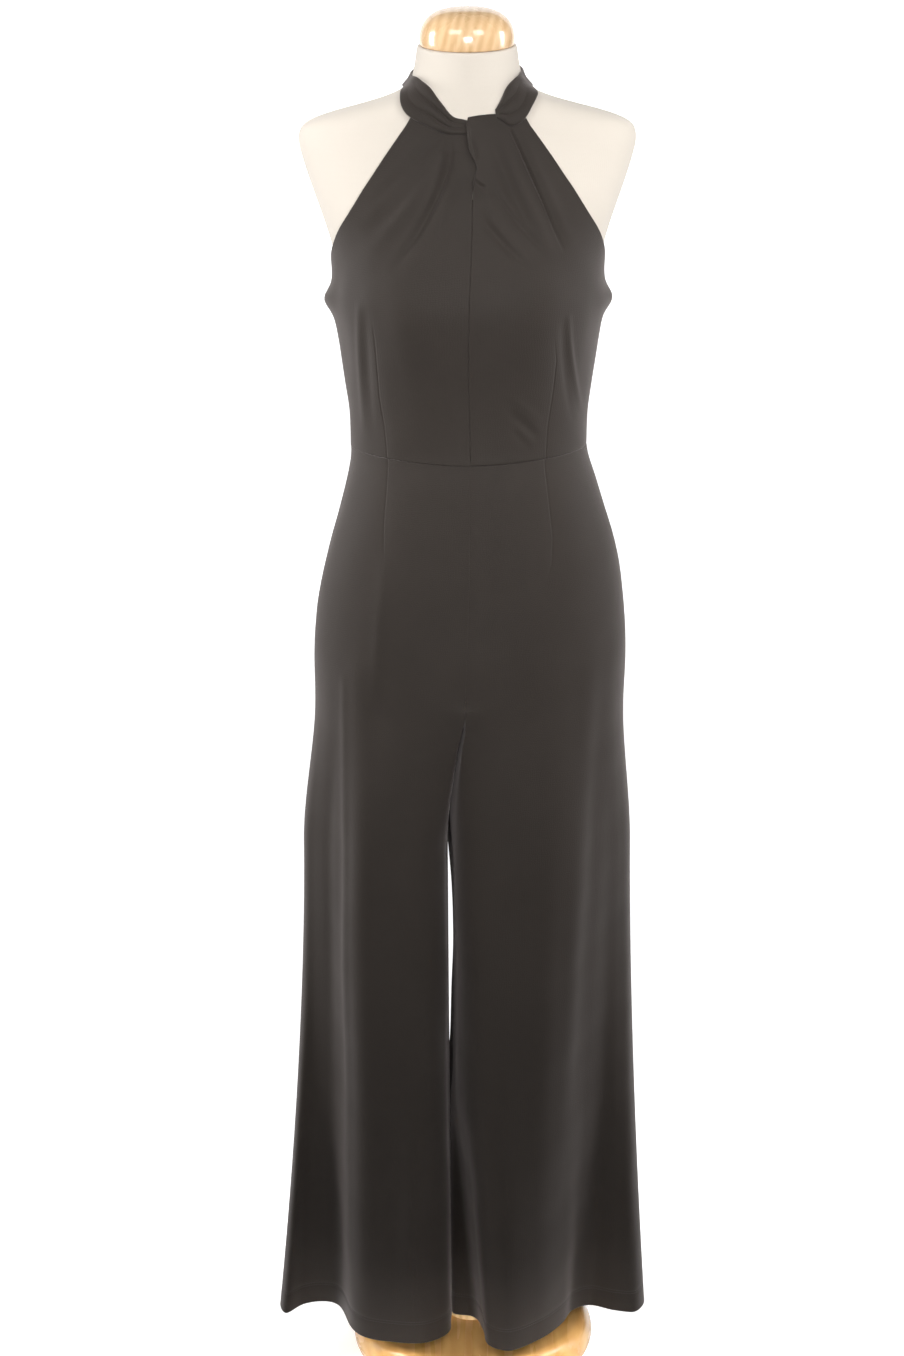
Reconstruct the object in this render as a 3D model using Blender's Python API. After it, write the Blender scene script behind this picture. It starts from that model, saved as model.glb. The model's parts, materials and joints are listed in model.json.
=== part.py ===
"""A sleeveless halter jumpsuit with wide legs, worn by a limbless dress form on a wooden stand.

The garment faces -Y, +X is the wearer's left, and the stand's underside is at Z = 0.
Tables are in millimetres and everything built is in metres. Each cut piece of cloth is a
thin wall of its own. Its outer face is worked out from the dress form's sections, the ease
of the cloth over the form, and a row for each fold.
"""

import math

import bmesh
import bpy
import numpy as np

MM = 0.001

# Cloth
WALL = 1.2  # thickness of the cloth, as built
SEAM_GAP = 0.36  # between two pieces that are sewn together
LAYER_GAP = 0.6  # between a piece and the one that lies on it

# Heights above the floor
HEM = 50.0
WAIST_SIDE = 1042.0
WAIST_DIP = 12.0  # the waist seam sinks this much at centre front
UNDERARM = 1196.0
BACK_TOP = 1184.0  # top of the open back, at centre back
NECK_FRONT = 1382.0  # the top of the armhole edge, under the neck band
CROTCH = 737.0  # where the inseams meet the crotch seam
FORK = 777.0  # where the centre seams start to turn under
HIP = 800.0  # above this the cloth follows the form, and below it hangs free
THIGH = 600.0
FLARE_POWER = 1.6  # how late the legs spread between thigh and hem

# Dress form and stand
POLE_RADIUS = 12.5
FLANGE_RADIUS = 30.0
FLANGE_HEIGHT = 6.0
BASE_RADIUS = 137.0
BASE_HEIGHT = 40.0
BASE_TOP_RADIUS = 121.0
BASE_FOOT_RADIUS = 127.0
CAP_RADIUS = 48.7
CAP_HEIGHT = 37.0
CAP_FULLNESS = 2.25
NECK_TILT = math.radians(12.0)  # the neck's top leans towards the front
NECK_TILT_FROM = 1405.0
REST_GAP = 0.3  # between hard pieces that stand on each other
CROTCH_X = -20.0  # the pole runs down the left leg and pushes the crotch aside
BUTTON_RADIUS = 6.0
BUTTON_HEIGHT = 3.0

# The form's horizontal sections. fullness 2 is an ellipse, and more is squarer.
#   height, half_width, front, back, fullness
FORM_SECTIONS = (
    (790, 156.0, 92.0, 106.0, 2.3),
    (820, 159.5, 96.0, 113.0, 2.3),
    (860, 158.5, 97.0, 115.0, 2.3),
    (900, 152.5, 96.0, 109.0, 2.3),
    (940, 143.0, 94.0, 98.0, 2.3),
    (980, 131.5, 92.0, 87.0, 2.25),
    (1010, 124.5, 91.0, 80.0, 2.2),
    (1042, 121.5, 90.0, 76.0, 2.2),
    (1075, 122.0, 92.0, 77.0, 2.2),
    (1110, 126.0, 97.0, 82.0, 2.2),
    (1150, 131.0, 104.0, 88.0, 2.25),
    (1190, 136.5, 109.0, 92.0, 2.3),
    (1230, 137.5, 103.0, 93.5, 2.35),
    (1253, 141.5, 97.0, 93.0, 2.4),
    (1290, 154.0, 88.0, 90.0, 2.5),
    (1320, 165.0, 79.0, 85.0, 2.5),
    (1345, 172.5, 71.0, 78.0, 2.5),
    (1358, 175.0, 67.0, 74.0, 2.45),
    (1367, 174.0, 64.0, 71.5, 2.4),
    (1376, 168.0, 62.0, 69.0, 2.3),
    (1386, 142.0, 60.0, 66.0, 2.2),
    (1396, 102.0, 58.0, 63.0, 2.1),
    (1406, 71.0, 57.0, 60.0, 2.0),
    (1415, 60.0, 56.0, 57.0, 2.0),
    (1428, 54.0, 55.0, 54.0, 2.0),
    (1451.5, 52.0, 53.0, 52.0, 2.0),
)
FORM_RINGS = (
    790, 802, 830, 860, 900, 940, 980, 1010, 1042, 1075, 1110, 1150, 1172, 1190, 1210, 1230,
    1253, 1290, 1320, 1345, 1356, 1365, 1373, 1380, 1387, 1393, 1400, 1407, 1415, 1429,
    1451.5,
)
FORM_SIDES = 32
BUST_HEIGHT = 1184.0
BUST_APART = 68.0  # from the centre line to each side's fullest point
FORM_BUST = (14.0, 46.0)  # depth, radius
CLOTH_BUST = (11.0, 66.0)  # the cloth spans from one side to the other

# How far the cloth's outer face stands off the form.
#   height, ease
EASE = (
    (800, 11.0),
    (860, 7.5),
    (940, 9.0),
    (1000, 8.0),
    (1042, 3.6),
    (1110, 4.4),
    (1190, 5.2),
    (1253, 5.0),
    (1300, 6.0),
    (1350, 6.0),
    (1400, 5.0),
)
LEAST_EASE = 2.4  # what a crease's trough leaves of it
# How far the trousers hang towards the wearer's left of the form's middle.
#   height, shift
HANG = ((800, 0.0), (868, 1.0), (936, 3.2), (1003, 2.6), (1042, 0.0))
UNDERARM_FLARE = (9.0, 13.0, 13.0)  # stand-off, reach in height, reach in degrees

# The front's armhole edge, as the turn from centre front.
#   height, turn
ARMHOLE = (
    (1196, 90.0),
    (1230, 84.5),
    (1260, 71.0),
    (1281, 62.3),
    (1313, 55.2),
    (1346, 49.8),
    (1376, 44.5),
    (1390, 42.0),
)

# Centre front. The seam runs up to the knot, and above it the left front has a free edge
# that lies over the right front.
#   height, x
BODICE_CENTRE = (
    (1028, 0.9),
    (1074, 0.1),
    (1132, -1.0),
    (1188, 0.0),
    (1243, 2.8),
    (1304, 4.6),
)
FREE_EDGE = (
    (1304, 4.6),
    (1315, 6.6),
    (1325, 9.4),
    (1331, 7.8),
    (1340, 2.7),
    (1354, -0.8),
    (1368, -1.6),
    (1378, 0.3),
)
UNDERLAP = 9.0  # how far the right front reaches under the free edge
TROUSER_CENTRE = (
    (777, -6.0),
    (810, -4.5),
    (900, -1.0),
    (1000, 0.5),
    (1030, 0.9),
)

# Creases of the front that run out from the knot. A trough has a negative depth.
#   x1, z1, x2, z2, x3, z3, width, depth
FRONT_CREASES = (
    (-14, 1342, -42, 1290, -92, 1228, 9, -7.0),
    (-4, 1330, -28, 1276, -70, 1222, 8, 4.5),
    (-34, 1338, -62, 1305, -104, 1262, 8, -4.5),
    (-22, 1346, -52, 1302, -100, 1244, 7, 3.5),
    (44, 1358, 66, 1300, 97, 1243, 6, -6.0),
    (56, 1352, 76, 1302, 104, 1252, 7, 3.5),
    (24, 1350, 46, 1298, 74, 1240, 8, -4.5),
    (34, 1352, 57, 1298, 86, 1238, 6, 3.5),
    (10, 1310, 34, 1262, 66, 1216, 8, -3.5),
    (4, 1290, 22, 1246, 50, 1206, 7, 2.5),
)

# The left front's lift over the right front below and beside the knot.
OVERLAP_LOW = 1304.0
OVERLAP_LIFT = 7.0
OVERLAP_REACH = 24.0

# Neck bands, by turn from centre front. top and bottom are the heights of the two edges.
#   turn, top, bottom
RIGHT_BAND = (
    (-4, 1373, 1361),
    (4, 1375, 1359.5),
    (13.5, 1378, 1359.5),
    (23, 1389.5, 1362),
    (33, 1402.5, 1368.5),
    (46, 1412.5, 1379.5),
    (56, 1417, 1396),
    (67, 1419.5, 1405),
    (77, 1421, 1408.5),
    (90, 1423.5, 1409.5),
    (135, 1431, 1405),
    (180, 1437, 1402),
)
LEFT_BAND = (
    (23, 1382, 1377),
    (28, 1390, 1373.5),
    (34, 1401, 1368),
    (41, 1409, 1371.5),
    (50.5, 1415.5, 1388),
    (60, 1420, 1398),
    (67, 1423, 1403.5),
    (77, 1425, 1407.5),
    (90, 1427, 1409),
    (135, 1433, 1405),
    (180, 1437, 1402),
)
BAND_PLEATS = 3
BAND_PLEAT_DEPTH = 1.5
BAND_OVER_PANEL = 54.0  # up to this turn the band lies on the front piece
BAND_ON_FORM = 76.0  # from this turn it lies round the neck
BAND_EASE = 3.6
NAPE_OVERLAP = 9.0  # degrees that the button side reaches past the other

# The legs' folds, a row for each crest, hollow and seam, from the inseam round the front to
# the side seam (share 1) and round the back to the inseam again (share 2). hip_turn is
# where the row lies round the hips.
#   share, hip_turn, thigh_x, thigh_y, hem_x, hem_y
RIGHT_LEG = (
    (0.000, 0.0, -24.5, 4, -23.5, 4),
    (0.125, 0.0, -24.5, -40, -23.5, -42),
    (0.235, 0.0, -29, -72, -29, -79),
    (0.325, 21.0, -46, -92, -52, -99),
    (0.440, 39.5, -82, -100, -93, -97),
    (0.560, 54.0, -117, -92, -128, -81),
    (0.640, 60.5, -134, -74, -140.5, -57),
    (0.700, 65.5, -145, -58, -150, -19),
    (0.755, 69.0, -153, -46, -161, -4),
    (0.810, 72.7, -162, -38, -177, -1),
    (0.870, 77.0, -171, -29, -196, -9),
    (0.930, 82.0, -180, -19, -213, -29),
    (1.000, 90.0, -184, 0, -222, -5),
    (1.070, 98.0, -180, 20, -213, 22),
    (1.150, 106.0, -171, 44, -189, 34),
    (1.260, 119.0, -150, 78, -166, 74),
    (1.370, 135.0, -119, 105, -133, 105),
    (1.490, 151.0, -84, 111, -93, 93),
    (1.610, 166.0, -53, 107, -56, 108),
    (1.740, 180.0, -31, 84, -29, 82),
    (1.870, 180.0, -24.5, 44, -23.5, 44),
)
LEFT_LEG = (
    (0.000, 0.0, -20, 4, -19, 4),
    (0.085, 0.0, -20.5, -26, -19, -32),
    (0.150, 0.0, -20, -48, 2, -40),
    (0.235, 0.0, -16, -76, 11, -72),
    (0.325, 14.0, -1, -96, 17, -106),
    (0.400, 27.0, 24, -104, 37, -119),
    (0.510, 41.0, 65, -104, 72, -97),
    (0.640, 55.0, 109, -88, 102, -55),
    (0.720, 63.5, 133, -64, 114, -27),
    (0.790, 70.0, 148, -47, 134, -15),
    (0.870, 76.0, 162, -32, 162, -28),
    (0.940, 83.0, 172, -17, 186, -31),
    (1.000, 90.0, 176, 0, 197.5, -8),
    (1.070, 98.0, 173, 20, 192, 18),
    (1.150, 107.0, 162, 46, 171, 36),
    (1.260, 121.0, 142, 80, 151, 78),
    (1.370, 136.0, 108, 106, 118, 106),
    (1.490, 151.0, 71, 112, 80, 94),
    (1.610, 166.0, 32, 108, 40, 110),
    (1.740, 180.0, 0, 88, 6, 86),
    (1.870, 180.0, -18, 46, -17, 46),
)

FRONT_TUCK = 0.235  # from the inseam to here the cloth lies between the legs
BACK_TUCK = 1.74
TUCK_ROUNDING = 0.15
SEAM_REACH = 0.13  # how far round the leg the centre seams pull the cloth along
LEG_PARTING = 1.0  # how far each leg stands off the other below the crotch seam
# How far the back of the slot between the legs lies towards the wearer's right of its front.
# Daylight shows through it where that is little.
#   height, shift
LEG_SLOT = ((50, 9.0), (300, 9.0), (440, 2.5), (570, 2.5), (630, 8.0), (737, 8.0))

# A leg piece's rows of faces. inner is the height at its centre seam or inseam, and crotch
# how far the row has come along the crotch seam.
#   outer, inner, crotch
LEG_LEVELS = (
    (1042, 1030, 0.0),
    (1008, 1000, 0.0),
    (960, 955, 0.0),
    (910, 906, 0.0),
    (862, 859, 0.0),
    (822, 815, 0.0),
    (790, 777, 0.0),
    (766, None, 0.25),
    (744, None, 0.50),
    (720, None, 0.75),
    (694, 737, 1.0),
    (640, 676, 1.0),
    (570, 590, 1.0),
    (480, 490, 1.0),
    (370, 374, 1.0),
    (255, 256, 1.0),
    (145, 145, 1.0),
    (50, 50, 1.0),
)
LEG_COLUMNS = 22
BODICE_COLUMNS = 18
FRONT_ROWS = (16, 8)  # along the centre seam, and above it
SIDE_ROWS = (9, 15)  # below the underarm, and beside the armhole
BACK_COLUMNS = 12

MATERIALS = {
    "crepe": ((0.036, 0.032, 0.030), 0.75, 0.0),
    "form_cover": ((0.80, 0.74, 0.66), 0.9, 0.0),
    "stand_wood": ((0.62, 0.36, 0.15), 0.25, 0.0),
    "button": ((0.02, 0.02, 0.02), 0.3, 0.0),
}


# ---------------------------------------------------------------- curves and tables


def smooth(x, xs, ys, periodic=0.0):
    """The value at x of a smooth curve through the rows (xs, ys), with no overshoot unless it is periodic."""
    xs, ys = np.asarray(xs, float), np.asarray(ys, float)
    if periodic:
        xs = np.concatenate([xs[-3:] - periodic, xs, xs[:3] + periodic])
        ys = np.concatenate([ys[-3:], ys, ys[:3]])
    step = np.diff(xs)
    slope = np.diff(ys) / step
    weighted = (slope[:-1] * step[1:] + slope[1:] * step[:-1]) / (step[:-1] + step[1:])
    if not periodic:
        least = 3 * np.minimum(np.abs(slope[:-1]), np.abs(slope[1:]))
        turning = slope[:-1] * slope[1:] <= 0
        weighted = np.where(turning, 0, np.clip(weighted, -least, least))
    tangent = np.concatenate([[slope[0]], weighted, [slope[-1]]])
    x = np.clip(np.asarray(x, float), xs[0], xs[-1])
    i = np.clip(np.searchsorted(xs, x, "right") - 1, 0, len(xs) - 2)
    t = (x - xs[i]) / step[i]
    return (
        ys[i] * (1 + 2 * t) * (1 - t) ** 2
        + tangent[i] * step[i] * t * (1 - t) ** 2
        + ys[i + 1] * t * t * (3 - 2 * t)
        + tangent[i + 1] * step[i] * t * t * (t - 1)
    )


def column(table, n):
    return [row[n] for row in table]


def ramp(x, low, high):
    """0 below low, 1 above high, and smooth between."""
    t = np.clip((np.asarray(x, float) - low) / (high - low), 0, 1)
    return t * t * (3 - 2 * t)


def points(x, y, z):
    return np.stack(np.broadcast_arrays(x, y, z), axis=-1).astype(float)


# ---------------------------------------------------------------- the form's surface


def section(height):
    """half_width, front, back and fullness of the form at a height."""
    heights = column(FORM_SECTIONS, 0)
    return [smooth(height, heights, column(FORM_SECTIONS, n)) for n in (1, 2, 3, 4)]


def round_form(turn, height, bust):
    """A point of the form's surface. turn is in degrees from centre front, positive to the wearer's left."""
    half_width, front, back, fullness = section(height)
    sine, cosine = np.sin(np.radians(turn)), np.cos(np.radians(turn))
    depth = np.where(cosine > 0, front, back)
    reach = (
        np.abs(sine / half_width) ** fullness + np.abs(cosine / depth) ** fullness
    ) ** (-1 / fullness)
    x, y = reach * sine, -reach * cosine
    bust_depth, radius = bust
    for side in (-1, 1):
        off = ((x - side * BUST_APART) / radius) ** 2
        off = off + ((height - BUST_HEIGHT) / radius) ** 2
        y = y - bust_depth * np.exp(-off) * ramp(cosine, 0.0, 0.5)
    return points(x, y, height)


def tilt_neck(p):
    """Raises the back and lowers the front of the neck's top."""
    share = ramp(p[..., 2], NECK_TILT_FROM, FORM_SECTIONS[-1][0])
    p = p.copy()
    p[..., 2] += p[..., 1] * math.tan(NECK_TILT) * share
    return p


def normal_of(surface, turn, height):
    """The outward direction of surface(turn, height)."""
    across = surface(turn + 0.5, height) - surface(turn - 0.5, height)
    up = surface(turn, height + 1) - surface(turn, height - 1)
    n = np.cross(across, up)
    return n / np.linalg.norm(n, axis=-1, keepdims=True)


def form_surface(turn, height):
    return tilt_neck(round_form(turn, height, FORM_BUST))


def spanned_form(turn, height):
    """The form as the cloth spans it."""
    return tilt_neck(round_form(turn, height, CLOTH_BUST))


# ---------------------------------------------------------------- the cloth's surfaces


def cloth_ease(turn, height):
    """How far the outer face of smooth cloth stands off the form."""
    flare, tall, wide = UNDERARM_FLARE
    from_side = (np.abs(np.abs(turn) - 90) / wide) ** 2
    ease = smooth(height, column(EASE, 0), column(EASE, 1))
    return ease + flare * np.exp(-from_side - ((height - UNDERARM) / tall) ** 2)


def worn_cloth(turn, height):
    """The outer face of smooth cloth over the form."""
    out = normal_of(spanned_form, turn, height)
    p = spanned_form(turn, height) + out * cloth_ease(turn, height)[..., None]
    p[..., 0] += smooth(height, column(HANG, 0), column(HANG, 1))
    return p


def crease_height(x, z, crease):
    """How far one crease lifts the cloth at (x, z), seen from the front."""
    x1, z1, x2, z2, x3, z3, width, depth = crease
    t = np.linspace(0, 1, 17)
    run_x = (1 - t) ** 2 * x1 + 2 * t * (1 - t) * x2 + t * t * x3
    run_z = (1 - t) ** 2 * z1 + 2 * t * (1 - t) * z2 + t * t * z3
    away, along = np.full(np.shape(x), 1e9), np.zeros(np.shape(x))
    for n in range(len(t) - 1):
        across, up = run_x[n + 1] - run_x[n], run_z[n + 1] - run_z[n]
        share = (x - run_x[n]) * across + (z - run_z[n]) * up
        share = np.clip(share / (across**2 + up**2), 0, 1)
        here = np.hypot(x - run_x[n] - share * across, z - run_z[n] - share * up)
        along = np.where(here < away, t[n] + share / (len(t) - 1), along)
        away = np.minimum(here, away)
    fade = np.sin(np.pi * np.clip(0.12 + 0.88 * along, 0, 1)) ** 0.8
    return depth * fade * np.exp(-((away / width) ** 2))


def front_cloth(turn, height):
    """The outer face of the fronts, with their creases."""
    p = worn_cloth(turn, height)
    lift = sum(crease_height(p[..., 0], p[..., 2], c) for c in FRONT_CREASES)
    lift = np.maximum(lift, LEAST_EASE - cloth_ease(turn, height))
    return p + normal_of(worn_cloth, turn, height) * lift[..., None]


def lapped_front(turn, height):
    """The left front, which stands over the right front beside the knot."""
    p = front_cloth(turn, height)
    lift = OVERLAP_LIFT * ramp(p[..., 2], OVERLAP_LOW - 8, OVERLAP_LOW + 12)
    lift = lift * np.exp(-(((p[..., 0] + 3) / OVERLAP_REACH) ** 2))
    return p + normal_of(worn_cloth, turn, height) * lift[..., None]


def turn_at(x, height):
    """The turn at which the front cloth passes x, near the centre line."""
    return np.degrees(np.arctan2(x, -worn_cloth(0.0 * x, height)[..., 1]))


def waist_drop(turn):
    """How far the waist seam lies below its height at the sides."""
    return WAIST_DIP * np.maximum(np.cos(np.radians(turn)), 0) ** 1.5


def band_surface(table, side, panel):
    """The outer face of a neck band as a function of its turn and the share of its width.

    Its first end lies on the front piece whose outer face is panel."""

    def surface(turn, share):
        turn, share = np.broadcast_arrays(
            np.asarray(turn, float), np.asarray(share, float)
        )
        flat = np.minimum(turn, 180)
        top = smooth(flat, column(table, 0), column(table, 1))
        bottom = smooth(flat, column(table, 0), column(table, 2))
        height = bottom + (top - bottom) * share
        pleated = (1 - ramp(turn, 30, 60)) * ramp(top - bottom, 9, 26)
        pleats = (1 - np.cos(2 * np.pi * BAND_PLEATS * share)) / 2
        over = WALL + 1.5 * LAYER_GAP + BAND_PLEAT_DEPTH * pleats * pleated
        round_neck = np.full_like(over, BAND_EASE)
        if side < 0:  # the button end lies on the other band's end
            round_neck = round_neck + (WALL + 2 * LAYER_GAP) * ramp(turn, 150, 168)
        turn = side * turn
        on_panel = normal_of(panel, turn, height) * over[..., None]
        on_neck = normal_of(form_surface, turn, height) * round_neck[..., None]
        on_panel = on_panel + panel(turn, height)
        on_neck = on_neck + form_surface(turn, height)
        share_of_neck = ramp(np.abs(turn), BAND_OVER_PANEL, BAND_ON_FORM)[..., None]
        return on_panel * (1 - share_of_neck) + on_neck * share_of_neck

    return surface


def leg_tuck(share):
    """0 on the outside of the legs, rising to 1 at the inseam between them."""
    t = np.maximum(1 - share / FRONT_TUCK, (share - BACK_TUCK) / (2 - BACK_TUCK))
    t = t.clip(0)
    return (1 + TUCK_ROUNDING) * t * t / (t + TUCK_ROUNDING)


def share_at_tuck(tuck, back):
    """The share of the girth at which leg_tuck is tuck."""
    full = 1 + TUCK_ROUNDING
    t = (tuck + math.sqrt(tuck * tuck + 4 * full * TUCK_ROUNDING * tuck)) / (2 * full)
    return BACK_TUCK + (2 - BACK_TUCK) * t if back else FRONT_TUCK * (1 - t)


def around_hips(rows, share, height, side):
    """The point of a leg's piece at hip height or above, by its share of the leg's girth."""
    turn = side * smooth(share, column(rows, 0) + [2.0], column(rows, 1) + [180.0])
    p = worn_cloth(turn, height)
    centre = smooth(height, column(TROUSER_CENTRE, 0), column(TROUSER_CENTRE, 1))
    from_seam = np.minimum(share - FRONT_TUCK, BACK_TUCK - share).clip(0)
    tuck = leg_tuck(share)
    p[..., 0] += centre * np.exp(-((from_seam / SEAM_REACH) ** 2))
    p[..., 0] += (CROTCH_X - centre) * tuck
    p[..., 1] *= 1 - tuck
    return p


def leg_surface(rows, side):
    """The outer face of a leg as a function of its share of the girth and its height."""

    def surface(share, height):
        share, height = np.broadcast_arrays(
            np.asarray(share, float), np.asarray(height, float)
        )
        wrapped = np.mod(share, 2.0)
        thigh = [smooth(wrapped, column(rows, 0), column(rows, n), 2.0) for n in (2, 3)]
        hem = [smooth(wrapped, column(rows, 0), column(rows, n), 2.0) for n in (4, 5)]
        worn = around_hips(rows, wrapped, np.maximum(height, HIP), side)
        at_hip = around_hips(rows, wrapped, np.full_like(height, HIP), side)
        above = around_hips(rows, wrapped, np.full_like(height, HIP + 10), side)
        t = np.clip((HIP - height) / (HIP - THIGH), 0, 1)
        spread = np.clip((THIGH - height) / (THIGH - HEM), 0, None) ** FLARE_POWER
        out = worn.copy()
        for n in (0, 1):
            fall = (at_hip[..., n] - above[..., n]) / 10 * (HIP - THIGH)
            hanging = (
                at_hip[..., n] * (1 + 2 * t) * (1 - t) ** 2
                + fall * t * (1 - t) ** 2
                + thigh[n] * t * t * (3 - 2 * t)
                + (hem[n] - thigh[n]) * spread
            )
            out[..., n] = np.where(height >= HIP, worn[..., n], hanging)
        out[..., 2] = height
        return out

    return surface


# ---------------------------------------------------------------- building solids


def material(name):
    if name in bpy.data.materials:
        return bpy.data.materials[name]
    colour, roughness, metallic = MATERIALS[name]
    made = bpy.data.materials.new(name)
    made.use_nodes = True
    shader = made.node_tree.nodes["Principled BSDF"]
    shader.inputs["Base Color"].default_value = (*colour, 1)
    shader.inputs["Roughness"].default_value = roughness
    shader.inputs["Metallic"].default_value = metallic
    return made


def add_object(name, bm, material_name, sharp_angle=math.radians(50)):
    """Turns bm, in millimetres, into an object in metres."""
    bmesh.ops.scale(bm, vec=(MM, MM, MM), verts=bm.verts)
    bm.normal_update()
    if bm.calc_volume(signed=True) < 0:
        bmesh.ops.reverse_faces(bm, faces=bm.faces)
    mesh = bpy.data.meshes.new(name)
    bm.to_mesh(mesh)
    bm.free()
    mesh.shade_smooth()
    mesh.set_sharp_from_angle(angle=sharp_angle)
    mesh.materials.append(material(material_name))
    made = bpy.data.objects.new(name, mesh)
    bpy.context.scene.collection.objects.link(made)
    return made


def wall(name, outer, outward, material_name="crepe", thickness=WALL):
    """A closed wall whose outer face is the grid outer[row, column], thickened inwards.

    Each square of the grid is split from its first corner, along the crotch's crease."""
    inner = outer - outward * thickness
    rows, columns = outer.shape[:2]
    bm = bmesh.new()
    out = [[bm.verts.new(outer[r, c]) for c in range(columns)] for r in range(rows)]
    back = [[bm.verts.new(inner[r, c]) for c in range(columns)] for r in range(rows)]
    for r in range(rows - 1):
        for c in range(columns - 1):
            for side, turn in ((out, 1), (back, -1)):
                for r2, c2 in ((r, c + 1), (r + 1, c)):
                    corners = [side[r][c], side[r2][c2], side[r + 1][c + 1]]
                    bm.faces.new(corners[:: turn if c2 > c else -turn])
    for r in range(rows - 1):
        for c in (0, columns - 1):
            edge = (out[r][c], out[r + 1][c], back[r + 1][c], back[r][c])
            bm.faces.new(edge if c == 0 else edge[::-1])
    for c in range(columns - 1):
        for r in (0, rows - 1):
            edge = (out[r][c], back[r][c], back[r][c + 1], out[r][c + 1])
            bm.faces.new(edge if r == 0 else edge[::-1])
    return add_object(name, bm, material_name)


def lathe(name, profile, material_name, sides=48, place=(0, 0, 0), tilt=0.0):
    """A solid turned about the vertical axis. profile runs from its top centre to its bottom centre."""
    bm = bmesh.new()
    rings = []
    for radius, height in profile:
        if radius == 0:
            rings.append([bm.verts.new((0, 0, height))])
            continue
        turn = [2 * math.pi * k / sides for k in range(sides)]
        rings.append(
            [
                bm.verts.new((radius * math.cos(a), radius * math.sin(a), height))
                for a in turn
            ]
        )
    for upper, lower in zip(rings, rings[1:]):
        for k in range(sides):
            n = (k + 1) % sides
            if len(upper) == 1:
                bm.faces.new((upper[0], lower[k], lower[n]))
            elif len(lower) == 1:
                bm.faces.new((upper[n], upper[k], lower[0]))
            else:
                bm.faces.new((upper[n], upper[k], lower[k], lower[n]))
    made = add_object(name, bm, material_name)
    made.location = [v * MM for v in place]
    made.rotation_euler.x = tilt
    return made


def superellipse_profile(radius, height, fullness, steps):
    """Half a dome's outline, from its top centre down to its rim."""
    angles = [math.pi / 2 * k / steps for k in range(steps + 1)]
    return [
        (
            radius * math.sin(a) ** (2 / fullness),
            height * math.cos(a) ** (2 / fullness) if k < steps else 0.0,
        )
        for k, a in enumerate(angles)
    ]


# ---------------------------------------------------------------- the dress form and stand


def build_form():
    """The covered torso: one closed solid from the hips to the neck's slanting top."""
    bm = bmesh.new()
    rings = []
    for height in FORM_RINGS:
        half_width, front, back, _ = section(height)
        spin = np.radians(np.arange(FORM_SIDES) * 360 / FORM_SIDES)
        depth = np.where(np.cos(spin) > 0, front, back)
        turn = np.degrees(np.arctan2(half_width * np.sin(spin), depth * np.cos(spin)))
        ring = form_surface(turn, np.full(FORM_SIDES, float(height)))
        rings.append([bm.verts.new(p) for p in ring])
    for low, high in zip(rings, rings[1:]):
        for k in range(FORM_SIDES):
            n = (k + 1) % FORM_SIDES
            bm.faces.new((low[k], low[n], high[n], high[k]))
    bm.faces.new(rings[0][::-1])
    bm.faces.new(rings[-1])
    return add_object("form_torso", bm, "form_cover")


def build_cap():
    """The turned wooden cap that lies on the neck's slanting top."""
    top = FORM_SECTIONS[-1][0]
    dome = superellipse_profile(CAP_RADIUS, CAP_HEIGHT, CAP_FULLNESS, 9)
    lathe(
        "neck_cap",
        dome + [(0, 0)],
        "stand_wood",
        sides=32,
        place=(0, 0, top + REST_GAP),
        tilt=NECK_TILT,
    )


def build_stand():
    """The pole with its foot flange, and the round base with a full edge."""
    foot = BASE_HEIGHT + REST_GAP
    pole_top = FORM_RINGS[0] - REST_GAP
    lathe(
        "stand_pole",
        [
            (0, pole_top),
            (POLE_RADIUS, pole_top),
            (POLE_RADIUS, foot + FLANGE_HEIGHT),
            (FLANGE_RADIUS - 2, foot + FLANGE_HEIGHT),
            (FLANGE_RADIUS, foot + FLANGE_HEIGHT - 2),
            (FLANGE_RADIUS, foot),
            (0, foot),
        ],
        "stand_wood",
        sides=24,
    )
    middle = BASE_HEIGHT * 0.47
    angles = [math.pi / 2 * k / 5 for k in range(6)]
    upper = [
        (
            BASE_TOP_RADIUS + (BASE_RADIUS - BASE_TOP_RADIUS) * math.sin(a),
            middle + (BASE_HEIGHT - middle) * math.cos(a),
        )
        for a in angles
    ]
    lower = [
        (
            BASE_FOOT_RADIUS + (BASE_RADIUS - BASE_FOOT_RADIUS) * math.cos(a),
            middle - middle * math.sin(a),
        )
        for a in angles[1:]
    ]
    lathe(
        "stand_base",
        [(0, BASE_HEIGHT), *upper, *lower, (0, 0)],
        "stand_wood",
        sides=48,
    )


# ---------------------------------------------------------------- the bodice


def build_front(name, side, surface, top, near):
    """A front, from the waist seam to the neck and from centre front to the side seam.

    top gives the height of the neck edge by the turn, and near where the centre edge runs."""
    share = np.linspace(0, 1, BODICE_COLUMNS + 1)[None, :]
    low = WAIST_SIDE - waist_drop(share * 90) + SEAM_GAP / 2
    sewn, free = FRONT_ROWS
    below_arm, beside_arm = SIDE_ROWS
    centre = np.linspace(low[0, 0], OVERLAP_LOW, sewn + 1)
    centre = np.append(centre, np.linspace(OVERLAP_LOW, float(top(0.0)), free + 1)[1:])
    edge = np.linspace(low[0, -1], UNDERARM, below_arm + 1)
    edge = np.append(edge, np.linspace(UNDERARM, NECK_FRONT, beside_arm + 1)[1:])
    up = np.linspace(0, 1, len(edge))[:, None]
    far = smooth(edge, column(ARMHOLE, 0), column(ARMHOLE, 1))
    far -= np.where(edge <= UNDERARM, np.degrees(SEAM_GAP / 2 / 130), 0)
    start = near(centre)[:, None]
    turn = start + share * (far[:, None] - start)
    straight = centre[:, None] * (1 - share) + edge[:, None] * share
    height = straight + (1 - up) ** 3 * (low - straight[:1])
    height = height + up**3 * (top(turn[-1:]) - straight[-1:])
    outer = surface(side * turn, height)
    return wall(name, outer, normal_of(surface, side * turn, height))


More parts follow.
